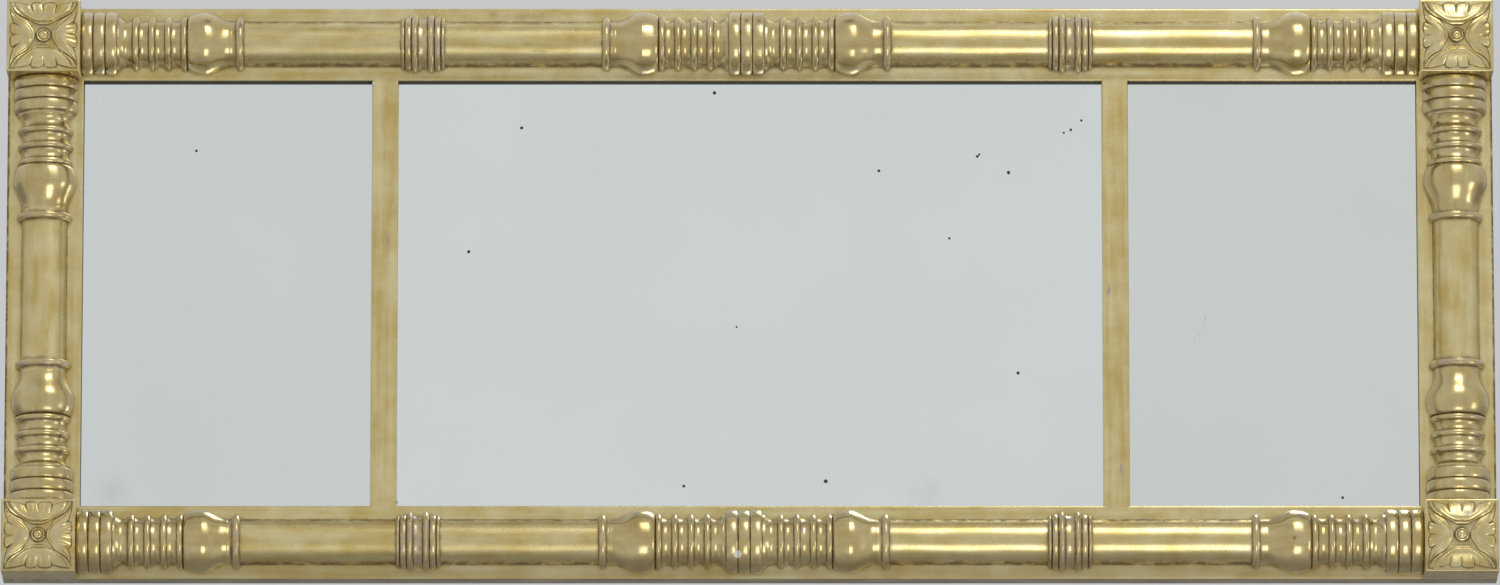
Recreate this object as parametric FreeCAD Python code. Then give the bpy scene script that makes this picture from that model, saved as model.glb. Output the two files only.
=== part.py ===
import FreeCAD
import Part
import os

# Overmantel mirror: a gilt pine frame with turned half columns, corner blocks with rosettes, two dividers
# and three mirror plates. X runs to the right, Y to the wall, Z up. The origin is the middle of the
# bottom rail's underside, halfway through the frame's thickness. All lengths are in millimetres.

Vector = FreeCAD.Vector
ALONG = Vector(1, 0, 0)
BACKWARD = Vector(0, 1, 0)
UPWARD = Vector(0, 0, 1)

# Frame of pine: two rails and two stiles, half-lapped at the corners
FRAME_WIDTH = 1524.0
FRAME_HEIGHT = 597.0
RAIL_WIDTH = 76.0
STILE_WIDTH = 78.0
SIGHT_BEVEL = 2.0

# What lies behind the sight edge, from front to back: lip, plate, room for wedges, backboards
LIP_THICKNESS = 10.0
PLATE_THICKNESS = 3.0
WEDGE_ROOM = 6.0
BOARD_THICKNESS = 6.0
PLATE_REBATE = 8.0
BOARD_LEDGE = 8.0
PLATE_CLEARANCE = 0.8
BOARD_CLEARANCE = 0.6

# Dividers: a flat face on a stem that stands between two plates
CENTRE_SIGHT_WIDTH = 722.0
DIVIDER_WIDTH = 27.0
DIVIDER_STEM = 11.0
DIVIDER_HOUSING = 12.0

# Corner blocks, flush with the outer edges of the frame and set back from the sight edges
BLOCK_SIDE_SETBACK = 2.5
BLOCK_LEVEL_SETBACK = 0.5
BLOCK_DEPTH = 41.0
BLOCK_ARRIS = 1.0

# Rosettes on the blocks: four fan petals round a well that holds a turned button
ROSETTE_BORDER = 3.75
ROSETTE_RELIEF = 6.0
PETAL_EDGE_HEIGHT = 1.8
PETAL_RIDGE_SHARE = 0.58
PETAL_GROOVE_WIDTH = 3.0
PETAL_GROOVE_FLOOR = 2.2
WELL_RIM_RADIUS = 15.5
WELL_FLOOR_RADIUS = 11.0
WELL_FLOOR_HEIGHT = 1.2
BUTTON_RADIUS = 7.0
BUTTON_HEIGHT = 4.0
BUTTON_RIM_HEIGHT = 2.0
BUTTON_CROWN_RADIUS = 4.0
# Half of a petal's scalloped edge, three chisel cuts to a lobe, as across and outward shares of the half size
PETAL_EDGE_SHARES = (
    (0, 0.93),
    (0.08, 1.0),
    (0.34, 1.0),
    (0.42, 0.93),
    (0.52, 0.99),
    (0.74, 0.97),
    (0.86, 0.86),
)

# Turned half columns: the members of one motif, from its broad rings to the plain shaft
SHAFT_RADIUS = 23.6
BROAD_RING_COUNT = 3
BROAD_RING_RADIUS = 33.2
BROAD_RING_LENGTH = 12.3
BROAD_RING_BEVEL = 3.2
BROAD_GROOVE_RADIUS = 30.4
COVE_LENGTH = 14.3
COVE_RADIUS = 25.4
THIN_RING_RADIUS = 29.2
THIN_RING_LENGTH = 8.2
THIN_GAP_LENGTH = 8.4
LONG_COLUMN_THIN_RINGS = 4
SHORT_COLUMN_THIN_RINGS = 3
BALL_RADIUS = 32.8
BALL_RISE_LENGTH = 17.9
BALL_FALL_LENGTH = 25.1
NECK_RADIUS = 24.6
NECK_LENGTH = 6.4
SHAFT_RING_RADIUS = 28.7
SHAFT_RING_LENGTH = 9.2

# Collar on a long column: beads and ridges in turn, placed as a share of the column's half length
COLLAR_RIDGE_RADIUS = 31.5
COLLAR_BEAD_RADIUS = 28.0
COLLAR_GROOVE_RADIUS = 25.6
COLLAR_MEMBER_LENGTH = 8.8
COLLAR_RIDGE_COUNT = 2
COLLAR_PLACE_SHARE = 0.484

# Wedges of pine that hold the plates, glued into the rebate behind the glass
WEDGE_LENGTH = 40.0
WEDGE_WIDTH = 7.0
WEDGE_BACK_CLEARANCE = 0.5
WEDGE_PLACE_SHARES = (-0.3, 0.3)

# Backboards
BOARD_COUNT = 3
BOARD_GAP = 1.0

# Cut nails: square, tapered, with a flat head driven flush
BOARD_NAIL_SIZE = 2.2
BOARD_NAIL_LENGTH = 20.0
COLUMN_NAIL_SIZE = 3.2
COLUMN_NAIL_BITE = 16.0
BLOCK_NAIL_SIZE = 4.0
BLOCK_NAIL_BITE = 28.0
DIVIDER_NAIL_SIZE = 2.0
DIVIDER_NAIL_LENGTH = 14.0
NAIL_TIP_SHARE = 0.5
NAIL_HEAD_SHARE = 2.0
NAIL_HEAD_DEPTH_SHARE = 0.5
BOARD_END_NAIL_SHARES = (-0.3, 0.3)
BOARD_EDGE_NAIL_SHARES = (-0.75, -0.25, 0.25, 0.75)
LONG_COLUMN_NAIL_SHARES = (-0.68, -0.29, 0.29, 0.68)
SHORT_COLUMN_NAIL_SHARES = (-0.25, 0.25)
# Two nails in each block, as shares of the block's width and height from its middle
BLOCK_NAIL_SHARES = ((-0.22, 0.22), (0.22, -0.22))

# Wood screws with countersunk heads
HANGER_SCREW_RADIUS = 1.8
HANGER_SCREW_LENGTH = 14.0
SCREW_HEAD_SHARE = 2.0
SCREW_CLEARANCE = 0.1

# Strap hangers with hinged D-rings, on the backs of the stiles
STRAP_WIDTH = 14.0
STRAP_LENGTH = 45.0
STRAP_THICKNESS = 1.5
STRAP_SCREW_SPACING = 11.0
HANGER_DROP = 112.0
RING_LIMB = 3.0
RING_PLATE = 2.6
RING_HALF_WIDTH = 13.0
RING_SIDE_DROP = 8.0
RING_CORNER_RADIUS = 4.0
RING_CLEARANCE = 0.3

# How far cutting shapes run past what they cut
OVERRUN = 4.0

# Planes and places that several pieces share
FRAME_THICKNESS = LIP_THICKNESS + PLATE_THICKNESS + WEDGE_ROOM + BOARD_THICKNESS
FACE_Y = -FRAME_THICKNESS / 2
BACK_Y = FRAME_THICKNESS / 2
PLATE_FRONT_Y = FACE_Y + LIP_THICKNESS
PLATE_BACK_Y = PLATE_FRONT_Y + PLATE_THICKNESS
BOARD_FRONT_Y = BACK_Y - BOARD_THICKNESS
BLOCK_FACE_Y = FACE_Y - BLOCK_DEPTH
BLOCK_WIDTH = STILE_WIDTH - BLOCK_SIDE_SETBACK
BLOCK_HEIGHT = RAIL_WIDTH - BLOCK_LEVEL_SETBACK
ROSETTE_HALF_SIZE = min(BLOCK_WIDTH, BLOCK_HEIGHT) / 2 - ROSETTE_BORDER
SIDE_X = FRAME_WIDTH / 2
SIGHT_X = SIDE_X - STILE_WIDTH
SIGHT_LOW_Z = RAIL_WIDTH
SIGHT_HIGH_Z = FRAME_HEIGHT - RAIL_WIDTH
PLATE_X = SIGHT_X + PLATE_REBATE
PLATE_LOW_Z = SIGHT_LOW_Z - PLATE_REBATE
PLATE_HIGH_Z = SIGHT_HIGH_Z + PLATE_REBATE
BOARD_X = PLATE_X + BOARD_LEDGE
BOARD_LOW_Z = PLATE_LOW_Z - BOARD_LEDGE
BOARD_HIGH_Z = PLATE_HIGH_Z + BOARD_LEDGE
DIVIDER_X = (CENTRE_SIGHT_WIDTH + DIVIDER_WIDTH) / 2
MIDDLE_Z = FRAME_HEIGHT / 2
BLOCK_X = SIDE_X - BLOCK_WIDTH / 2
SIDES = {"left": -1, "right": 1}
LEVELS = {"top": FRAME_HEIGHT - BLOCK_HEIGHT / 2, "bottom": BLOCK_HEIGHT / 2}


def box(low, high):
    """A block between two opposite corners."""
    size = high - low
    return Part.makeBox(size.x, size.y, size.z, low)


def rectangle(half_x, half_z, y, centre):
    """A closed rectangle that stands square to Y, about a centre."""
    corners = [
        Vector(centre.x + across * half_x, y, centre.z + up * half_z)
        for across, up in ((-1, -1), (1, -1), (1, 1), (-1, 1), (-1, -1))
    ]
    return Part.makePolygon(corners)


def cut_nail(head, size, length):
    """A nail driven towards the front, whose head is flush with the given point."""
    head_depth = size * NAIL_HEAD_DEPTH_SHARE
    half_head = size * NAIL_HEAD_SHARE / 2
    top = Vector(half_head, 0, half_head)
    nail_head = box(head - top - BACKWARD * head_depth, head + top)
    thick_end = rectangle(size / 2, size / 2, head.y - head_depth, head)
    thin_end = rectangle(size / 2 * NAIL_TIP_SHARE, size / 2, head.y - length, head)
    shank = Part.makeLoft([thick_end, thin_end], True, True)
    return nail_head.fuse(shank).removeSplitter()


def wood_screw(head, clearance=0):
    """A countersunk screw driven towards the front, or its hole where a clearance is given."""
    radius = HANGER_SCREW_RADIUS + clearance
    head_radius = HANGER_SCREW_RADIUS * SCREW_HEAD_SHARE + clearance
    length = HANGER_SCREW_LENGTH + clearance
    outline = [
        (0, 0),
        (head_radius, 0),
        (radius, head_radius - radius),
        (radius, length),
        (0, length),
        (0, 0),
    ]
    points = [head + ALONG * across - BACKWARD * depth for across, depth in outline]
    return Part.Face(Part.makePolygon(points)).revolve(head, BACKWARD, 360)


class LatheOutline:
    """The outline that a turner cuts, drawn member by member along the axis."""

    def __init__(self, radius):
        self.point = Vector(0, 0, radius)
        self.edges = []

    def cut_to(self, length, radius):
        """A straight cut, this much further along, to this radius."""
        end = Vector(self.point.x + length, 0, radius)
        self.edges.append(Part.LineSegment(self.point, end).toShape())
        self.point = end

    def curve_to(self, length, radius, level_at_end):
        """A round cut that runs level with the axis at its end, or else at its start."""
        end = Vector(self.point.x + length, 0, radius)
        rise = end.z - self.point.z
        chord = end.distanceToPoint(self.point)
        inset = chord * (chord - length) / (2 * rise)
        if level_at_end:
            middle = Vector(end.x - chord / 2, 0, end.z - inset)
        else:
            middle = Vector(self.point.x + chord / 2, 0, self.point.z + inset)
        self.edges.append(Part.Arc(self.point, middle, end).toShape())
        self.point = end

    def bevelled_ring(self, length, bevel, radius, foot):
        """A broad ring with a flat crown between two bevels."""
        self.cut_to(bevel, radius)
        self.cut_to(length - 2 * bevel, radius)
        self.cut_to(bevel, foot)

    def ridge(self, length, radius, foot):
        """A narrow ring that comes to a ridge."""
        self.cut_to(length / 2, radius)
        self.cut_to(length / 2, foot)


def turned_motif(starts_halfway, thin_rings):
    """Outline edges of one motif, from its broad rings at zero to the shaft, and its length."""
    cut = LatheOutline(BROAD_RING_RADIUS if starts_halfway else BROAD_GROOVE_RADIUS)
    whole_rings = BROAD_RING_COUNT
    if starts_halfway:
        whole_rings = BROAD_RING_COUNT // 2
        cut.cut_to(BROAD_RING_LENGTH / 2 - BROAD_RING_BEVEL, BROAD_RING_RADIUS)
        cut.cut_to(BROAD_RING_BEVEL, BROAD_GROOVE_RADIUS)
    for _ in range(whole_rings):
        cut.bevelled_ring(BROAD_RING_LENGTH, BROAD_RING_BEVEL, BROAD_RING_RADIUS, BROAD_GROOVE_RADIUS)
    cut.cut_to(COVE_LENGTH, COVE_RADIUS)
    for number in range(thin_rings):
        if number:
            cut.cut_to(THIN_GAP_LENGTH, COVE_RADIUS)
        cut.ridge(THIN_RING_LENGTH, THIN_RING_RADIUS, COVE_RADIUS)
    cut.curve_to(BALL_RISE_LENGTH, BALL_RADIUS, True)
    cut.curve_to(BALL_FALL_LENGTH / 2, (BALL_RADIUS + NECK_RADIUS) / 2, False)
    cut.cut_to(BALL_FALL_LENGTH / 2, NECK_RADIUS)
    cut.cut_to(NECK_LENGTH, NECK_RADIUS)
    cut.cut_to(SHAFT_RING_LENGTH / 2, SHAFT_RING_RADIUS)
    cut.cut_to(SHAFT_RING_LENGTH / 2, SHAFT_RADIUS)
    return cut.edges, cut.point.x


def turned_collar():
    """Outline edges of a collar about zero, and half its length."""
    cut = LatheOutline(SHAFT_RADIUS)
    for _ in range(COLLAR_RIDGE_COUNT):
        cut.ridge(COLLAR_MEMBER_LENGTH, COLLAR_BEAD_RADIUS, COLLAR_GROOVE_RADIUS)
        cut.ridge(COLLAR_MEMBER_LENGTH, COLLAR_RIDGE_RADIUS, COLLAR_GROOVE_RADIUS)
    cut.ridge(COLLAR_MEMBER_LENGTH, COLLAR_BEAD_RADIUS, SHAFT_RADIUS)
    half_length = cut.point.x / 2
    return [edge.translated(-ALONG * half_length) for edge in cut.edges], half_length


def shaft_line(start, end):
    """The straight outline of a plain shaft."""
    return Part.LineSegment(Vector(start, 0, SHAFT_RADIUS), Vector(end, 0, SHAFT_RADIUS)).toShape()


def half_column(span, thin_rings, is_long):
    """A turning sawn in half, its flat back on XZ and its round side to the front, about the origin."""
    half = span / 2
    end_motif, end_length = turned_motif(False, thin_rings)
    edges = [edge.mirror(Vector(), ALONG).translated(ALONG * half) for edge in end_motif]
    shaft_end = half - end_length
    if is_long:
        middle_motif, middle_length = turned_motif(True, thin_rings)
        collar, collar_half = turned_collar()
        collar_x = half * COLLAR_PLACE_SHARE
        edges += middle_motif
        edges += [edge.translated(ALONG * collar_x) for edge in collar]
        edges.append(shaft_line(middle_length, collar_x - collar_half))
        edges.append(shaft_line(collar_x + collar_half, shaft_end))
        edges += [edge.mirror(Vector(), ALONG) for edge in edges]
    else:
        edges += [edge.mirror(Vector(), ALONG) for edge in edges]
        edges.append(shaft_line(-shaft_end, shaft_end))
    rim = Vector(half, 0, BROAD_GROOVE_RADIUS)
    far_rim = Vector(-half, 0, BROAD_GROOVE_RADIUS)
    ends = [rim, ALONG * half, -ALONG * half, far_rim]
    edges += [Part.LineSegment(a, b).toShape() for a, b in zip(ends, ends[1:])]
    outline = Part.Wire(Part.sortEdges(edges)[0])
    return Part.Face(outline).revolve(Vector(), ALONG, 180)


def frame_members():
    """Rails and stiles before they are rebated: the rails keep the back of each lap, the stiles the front."""
    members = {}
    for level, low_z in (("top", SIGHT_HIGH_Z), ("bottom", 0)):
        rail = box(Vector(-SIDE_X, FACE_Y, low_z), Vector(SIDE_X, BACK_Y, low_z + RAIL_WIDTH))
        for side in SIDES.values():
            ends = sorted((side * SIGHT_X, side * (SIDE_X + OVERRUN)))
            low = Vector(ends[0], FACE_Y - OVERRUN, low_z - OVERRUN)
            rail = rail.cut(box(low, Vector(ends[1], 0, low_z + RAIL_WIDTH + OVERRUN)))
        members[level + "_rail"] = rail
    for side, sign in SIDES.items():
        ends = sorted((sign * SIGHT_X, sign * SIDE_X))
        stile = box(Vector(ends[0], FACE_Y, 0), Vector(ends[1], BACK_Y, FRAME_HEIGHT))
        for low_z, high_z in ((-OVERRUN, SIGHT_LOW_Z), (SIGHT_HIGH_Z, FRAME_HEIGHT + OVERRUN)):
            low = Vector(ends[0] - OVERRUN, 0, low_z)
            stile = stile.cut(box(low, Vector(ends[1] + OVERRUN, BACK_Y + OVERRUN, high_z)))
        members[side + "_stile"] = stile
    return members


def rebates():
    """The stepped room that the rebates leave for the plates and the backboards."""
    plates = box(
        Vector(-PLATE_X, PLATE_FRONT_Y, PLATE_LOW_Z), Vector(PLATE_X, BACK_Y + OVERRUN, PLATE_HIGH_Z)
    )
    boards = box(
        Vector(-BOARD_X, BOARD_FRONT_Y, BOARD_LOW_Z), Vector(BOARD_X, BACK_Y + OVERRUN, BOARD_HIGH_Z)
    )
    return plates.fuse(boards)


def panes():
    """Each pane's left and right sight edges, and the walls between which its plate lies."""
    inner = DIVIDER_X - DIVIDER_WIDTH / 2
    outer = DIVIDER_X + DIVIDER_WIDTH / 2
    stem_inner = DIVIDER_X - DIVIDER_STEM / 2
    stem_outer = DIVIDER_X + DIVIDER_STEM / 2
    return {
        "left": ((-SIGHT_X, -outer), (-PLATE_X, -stem_outer)),
        "centre": ((-inner, inner), (-stem_inner, stem_inner)),
        "right": ((outer, SIGHT_X), (stem_outer, PLATE_X)),
    }


def sight_bevel(left, right):
    """The splayed room that the bevel takes from the front edges round one pane."""
    centre = Vector((left + right) / 2, 0, MIDDLE_Z)
    half_x = (right - left) / 2
    half_z = (SIGHT_HIGH_Z - SIGHT_LOW_Z) / 2
    grow = SIGHT_BEVEL + OVERRUN
    narrow = rectangle(half_x, half_z, FACE_Y + SIGHT_BEVEL, centre)
    wide = rectangle(half_x + grow, half_z + grow, FACE_Y - OVERRUN, centre)
    return Part.makeLoft([narrow, wide], True, True)


def divider(x):
    """A divider: a flat face between the rails, on a stem whose ends are housed in them."""
    half_face = DIVIDER_WIDTH / 2
    face = box(Vector(x - half_face, FACE_Y, SIGHT_LOW_Z), Vector(x + half_face, PLATE_FRONT_Y, SIGHT_HIGH_Z))
    return face.fuse(divider_stem(x)).removeSplitter()


def divider_stem(x):
    """A divider's stem, which is also the shape of its housings."""
    half_stem = DIVIDER_STEM / 2
    low = Vector(x - half_stem, PLATE_FRONT_Y, PLATE_LOW_Z - DIVIDER_HOUSING)
    return box(low, Vector(x + half_stem, BOARD_FRONT_Y, PLATE_HIGH_Z + DIVIDER_HOUSING))


def corner_block(x, z):
    """A block on a corner of the frame, with its front arrises taken off."""
    half = Vector(BLOCK_WIDTH / 2, 0, BLOCK_HEIGHT / 2)
    block = box(Vector(x, BLOCK_FACE_Y, z) - half, Vector(x, FACE_Y, z) + half)
    front = [edge for edge in block.Edges if edge.BoundBox.YMax < (BLOCK_FACE_Y + FACE_Y) / 2]
    return block.makeChamfer(BLOCK_ARRIS, front)


def petal_edge():
    """The scalloped outline of a rosette about the origin: four petals of four lobes."""
    right_half = [Vector(a, 0, b) * ROSETTE_HALF_SIZE for a, b in PETAL_EDGE_SHARES]
    left_half = [Vector(-point.x, 0, point.z) for point in reversed(right_half[1:])]
    petal = left_half + right_half
    quarter_turns = [FreeCAD.Rotation(BACKWARD, turn * 90) for turn in range(4)]
    points = [turn.multVec(point) for turn in quarter_turns for point in petal[:-1]]
    return Part.makePolygon(points + points[:1])


def rosette():
    """A rosette with its back on XZ about the origin, rising to the front."""
    centre = Vector()
    slab = Part.Face(petal_edge()).extrude(-BACKWARD * ROSETTE_RELIEF)
    ridge = ROSETTE_HALF_SIZE * PETAL_RIDGE_SHARE
    fall = (ROSETTE_HALF_SIZE - ridge) / (ROSETTE_RELIEF - PETAL_EDGE_HEIGHT)
    foot = ROSETTE_HALF_SIZE + fall * PETAL_EDGE_HEIGHT
    slopes = [
        Vector(-foot, 0, -foot),
        Vector(foot, 0, -foot),
        Vector(ridge, -ROSETTE_RELIEF, -foot),
        Vector(-ridge, -ROSETTE_RELIEF, -foot),
        Vector(-foot, 0, -foot),
    ]
    roof = Part.Face(Part.makePolygon(slopes)).extrude(UPWARD * (2 * foot))
    petals = slab.common(roof).common(roof.rotated(centre, BACKWARD, 90))
    well = Part.makeCone(
        WELL_FLOOR_RADIUS,
        WELL_RIM_RADIUS,
        ROSETTE_RELIEF - WELL_FLOOR_HEIGHT,
        -BACKWARD * WELL_FLOOR_HEIGHT,
        -BACKWARD,
    )
    petals = petals.cut(well)
    half_groove = PETAL_GROOVE_WIDTH / 2
    section = [
        Vector(-foot, -ROSETTE_RELIEF, half_groove),
        Vector(-foot, -ROSETTE_RELIEF, -half_groove),
        Vector(-foot, -PETAL_GROOVE_FLOOR, 0),
        Vector(-foot, -ROSETTE_RELIEF, half_groove),
    ]
    groove = Part.Face(Part.makePolygon(section)).extrude(ALONG * (2 * foot))
    for angle in (45, -45):
        petals = petals.cut(groove.rotated(centre, BACKWARD, angle))
    return petals


def button():
    """A turned button, its back on XZ about the origin."""
    outline = [
        (0, 0),
        (BUTTON_RADIUS, 0),
        (BUTTON_RADIUS, BUTTON_RIM_HEIGHT),
        (BUTTON_CROWN_RADIUS, BUTTON_HEIGHT),
        (0, BUTTON_HEIGHT),
        (0, 0),
    ]
    points = [ALONG * across - BACKWARD * rise for across, rise in outline]
    return Part.Face(Part.makePolygon(points)).revolve(Vector(), BACKWARD, 360)


def wedge(corner, along_plate, along_wall):
    """A three-cornered wedge in the angle between a plate's back and a rebate's wall."""
    depth = BACKWARD * (WEDGE_ROOM - WEDGE_BACK_CLEARANCE)
    start = corner - along_wall * (WEDGE_LENGTH / 2)
    section = [start, start + depth, start + along_plate * WEDGE_WIDTH, start]
    return Part.Face(Part.makePolygon(section)).extrude(along_wall * WEDGE_LENGTH)


def pane_wedges(left, right):
    """The wedges round one plate: two along each rail and one on each side."""
    width = right - left
    wedges = []
    for wall_z, inward in ((PLATE_HIGH_Z, -UPWARD), (PLATE_LOW_Z, UPWARD)):
        for share in WEDGE_PLACE_SHARES:
            corner = Vector((left + right) / 2 + share * width, PLATE_BACK_Y, wall_z)
            wedges.append(wedge(corner, inward, ALONG))
    for wall_x, inward in ((left, ALONG), (right, -ALONG)):
        wedges.append(wedge(Vector(wall_x, PLATE_BACK_Y, MIDDLE_Z), inward, UPWARD))
    return wedges


def backboards():
    """The boards that close the back, from the bottom up."""
    room = BOARD_HIGH_Z - BOARD_LOW_Z - 2 * BOARD_CLEARANCE
    height = (room - BOARD_GAP * (BOARD_COUNT - 1)) / BOARD_COUNT
    boards = []
    for number in range(BOARD_COUNT):
        low_z = BOARD_LOW_Z + BOARD_CLEARANCE + number * (height + BOARD_GAP)
        low = Vector(-BOARD_X + BOARD_CLEARANCE, BOARD_FRONT_Y, low_z)
        boards.append(box(low, Vector(BOARD_X - BOARD_CLEARANCE, BACK_Y, low_z + height)))
    return boards


def backboard_nails(boards):
    """Nails through the boards, into the stiles, the divider stems and the rails."""
    heads = []
    ledge_x = (PLATE_X + BOARD_X) / 2
    for board in boards:
        bound = board.BoundBox
        for share in BOARD_END_NAIL_SHARES:
            z = bound.Center.z + share * bound.ZLength
            heads += [Vector(sign * ledge_x, BACK_Y, z) for sign in SIDES.values()]
        heads += [Vector(sign * DIVIDER_X, BACK_Y, bound.Center.z) for sign in SIDES.values()]
    for ledge_z in ((PLATE_LOW_Z + BOARD_LOW_Z) / 2, (PLATE_HIGH_Z + BOARD_HIGH_Z) / 2):
        heads += [Vector(share * BOARD_X, BACK_Y, ledge_z) for share in BOARD_EDGE_NAIL_SHARES]
    return [cut_nail(head, BOARD_NAIL_SIZE, BOARD_NAIL_LENGTH) for head in heads]


def column_nails(column_places):
    """Nails from behind, through the frame and into the flat backs of the half columns."""
    length = FRAME_THICKNESS + COLUMN_NAIL_BITE
    nails = []
    for middle, direction, half, is_long in column_places:
        shares = LONG_COLUMN_NAIL_SHARES if is_long else SHORT_COLUMN_NAIL_SHARES
        for share in shares:
            head = middle + direction * (share * half) + BACKWARD * FRAME_THICKNESS
            nails.append(cut_nail(head, COLUMN_NAIL_SIZE, length))
    return nails


def block_nails():
    """Nails from behind, through the lapped corners and into the blocks."""
    length = FRAME_THICKNESS + BLOCK_NAIL_BITE
    heads = [
        Vector(sign * (BLOCK_X + across * BLOCK_WIDTH), BACK_Y, z + up * BLOCK_HEIGHT)
        for z in LEVELS.values()
        for sign in SIDES.values()
        for across, up in BLOCK_NAIL_SHARES
    ]
    return [cut_nail(head, BLOCK_NAIL_SIZE, length) for head in heads]


def divider_nails():
    """Nails that pin the stems of the dividers in their housings."""
    reach = PLATE_REBATE + DIVIDER_HOUSING / 2
    heads = [
        Vector(sign * DIVIDER_X, BOARD_FRONT_Y, z)
        for sign in SIDES.values()
        for z in (SIGHT_LOW_Z - reach, SIGHT_HIGH_Z + reach)
    ]
    return [cut_nail(head, DIVIDER_NAIL_SIZE, DIVIDER_NAIL_LENGTH) for head in heads]


def ring_outline(inset):
    """The outline of a D-ring below its pivot, moved inwards by an inset."""
    half = RING_HALF_WIDTH - inset
    top = RING_LIMB / 2 - inset
    corner = RING_CORNER_RADIUS - inset
    bend = corner * (1 - 0.5**0.5)
    low = -RING_SIDE_DROP
    right = [
        Part.Arc(
            Vector(half - corner, 0, top), Vector(half - bend, 0, top - bend), Vector(half, 0, top - corner)
        ).toShape(),
        Part.LineSegment(Vector(half, 0, top - corner), Vector(half, 0, low)).toShape(),
    ]
    edges = right + [edge.mirror(Vector(), ALONG) for edge in right]
    edges.append(Part.LineSegment(Vector(corner - half, 0, top), Vector(half - corner, 0, top)).toShape())
    edges.append(Part.Arc(Vector(-half, 0, low), Vector(0, 0, low - half), Vector(half, 0, low)).toShape())
    return Part.Face(Part.Wire(Part.sortEdges(edges)[0]))


def hanger(x):
    """A strap rolled round the bar of a D-ring that hangs from it, and the strap's two screws."""
    bar_radius = Vector(RING_LIMB / 2, RING_PLATE / 2, 0).Length
    bore = bar_radius + RING_CLEARANCE
    eye = bore + STRAP_THICKNESS
    pivot = Vector(x, BACK_Y + eye, FRAME_HEIGHT - HANGER_DROP)
    half_width = STRAP_WIDTH / 2
    end_z = pivot.z - STRAP_LENGTH + half_width
    back = Vector(0, STRAP_THICKNESS, 0)
    plate = box(Vector(x - half_width, BACK_Y, end_z), Vector(x + half_width, BACK_Y, pivot.z) + back)
    round_end = Part.makeCylinder(half_width, STRAP_THICKNESS, Vector(x, BACK_Y, end_z), BACKWARD)
    barrel_start = pivot - ALONG * half_width
    barrel = Part.makeCylinder(eye, STRAP_WIDTH, barrel_start, ALONG)
    strap = plate.fuse([round_end, barrel]).removeSplitter()
    strap = strap.cut(Part.makeCylinder(bore, STRAP_WIDTH, barrel_start, ALONG))
    heads = [Vector(x, BACK_Y + STRAP_THICKNESS, end_z + step * STRAP_SCREW_SPACING) for step in (0, 1)]
    ring = ring_outline(0).cut(ring_outline(RING_LIMB)).extrude(BACKWARD * RING_PLATE)
    ring.translate(pivot - BACKWARD * (RING_PLATE / 2))
    return strap, ring, heads


def build():
    """Every node of the mirror, by name."""
    nodes = {}
    stems = [divider_stem(sign * DIVIDER_X) for sign in SIDES.values()]
    bevels = [sight_bevel(*sight) for sight, _ in panes().values()]

    # Half columns, laid on the faces of the rails and stiles between the blocks
    places = {}
    for level, z in (("top", FRAME_HEIGHT - RAIL_WIDTH / 2), ("bottom", RAIL_WIDTH / 2)):
        places[level] = (Vector(0, FACE_Y, z), ALONG, SIDE_X - BLOCK_WIDTH, True)
    for side, sign in SIDES.items():
        middle = Vector(sign * (SIDE_X - STILE_WIDTH / 2), FACE_Y, MIDDLE_Z)
        places[side] = (middle, UPWARD, MIDDLE_Z - BLOCK_HEIGHT, False)
    column_pins = column_nails(places.values())
    for name, (middle, direction, half, is_long) in places.items():
        rings = LONG_COLUMN_THIN_RINGS if is_long else SHORT_COLUMN_THIN_RINGS
        column = half_column(2 * half, rings, is_long)
        if direction == UPWARD:
            column.rotate(Vector(), BACKWARD, 90)
        column.translate(middle)
        nodes[name + "_column"] = column.cut(column_pins)
    nodes["column_nails"] = Part.makeCompound(column_pins)

    # Blocks, nailed on from behind through the laps, with their rosettes and buttons
    block_pins = block_nails()
    for level, z in LEVELS.items():
        for side, sign in SIDES.items():
            x = sign * BLOCK_X
            corner = level + "_" + side
            nodes[corner + "_block"] = corner_block(x, z).cut(block_pins)
            nodes[corner + "_rosette"] = rosette().translated(Vector(x, BLOCK_FACE_Y, z))
            seat = Vector(x, BLOCK_FACE_Y - WELL_FLOOR_HEIGHT, z)
            nodes[corner + "_button"] = button().translated(seat)
    nodes["block_nails"] = Part.makeCompound(block_pins)

    # Hangers on the backs of the stiles
    hanger_screws = []
    hanger_holes = []
    for side, sign in SIDES.items():
        strap, ring, heads = hanger(sign * (BOARD_X + SIDE_X) / 2)
        holes = [wood_screw(head, SCREW_CLEARANCE) for head in heads]
        hanger_screws += [wood_screw(head) for head in heads]
        hanger_holes += holes
        nodes[side + "_hanger_strap"] = strap.cut(holes)
        nodes[side + "_hanger_ring"] = ring
    nodes["hanger_screws"] = Part.makeCompound(hanger_screws)

    # Backboards and dividers with their nails
    boards = backboards()
    board_pins = backboard_nails(boards)
    divider_pins = divider_nails()
    for name, board in zip(("bottom", "middle", "top"), boards):
        nodes[name + "_backboard"] = board.cut(board_pins)
    nodes["backboard_nails"] = Part.makeCompound(board_pins)
    nodes["divider_nails"] = Part.makeCompound(divider_pins)
    for side, sign in SIDES.items():
        piece = divider(sign * DIVIDER_X).cut(bevels)
        nodes[side + "_divider"] = piece.cut(board_pins + divider_pins)

    # Frame members, rebated and bored for everything that they hold
    holes = block_pins + hanger_holes + column_pins + board_pins + divider_pins
    for name, member in frame_members().items():
        nodes[name] = member.cut([rebates()] + bevels + stems).cut(holes)

    # Mirror plates and the wedges that hold them
    for name, (_, (left, right)) in panes().items():
        low = Vector(left + PLATE_CLEARANCE, PLATE_FRONT_Y, PLATE_LOW_Z + PLATE_CLEARANCE)
        high = Vector(right - PLATE_CLEARANCE, PLATE_BACK_Y, PLATE_HIGH_Z - PLATE_CLEARANCE)
        nodes[name + "_mirror_plate"] = box(low, high)
        nodes[name + "_plate_wedges"] = Part.makeCompound(pane_wedges(left, right))
    return nodes


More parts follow.
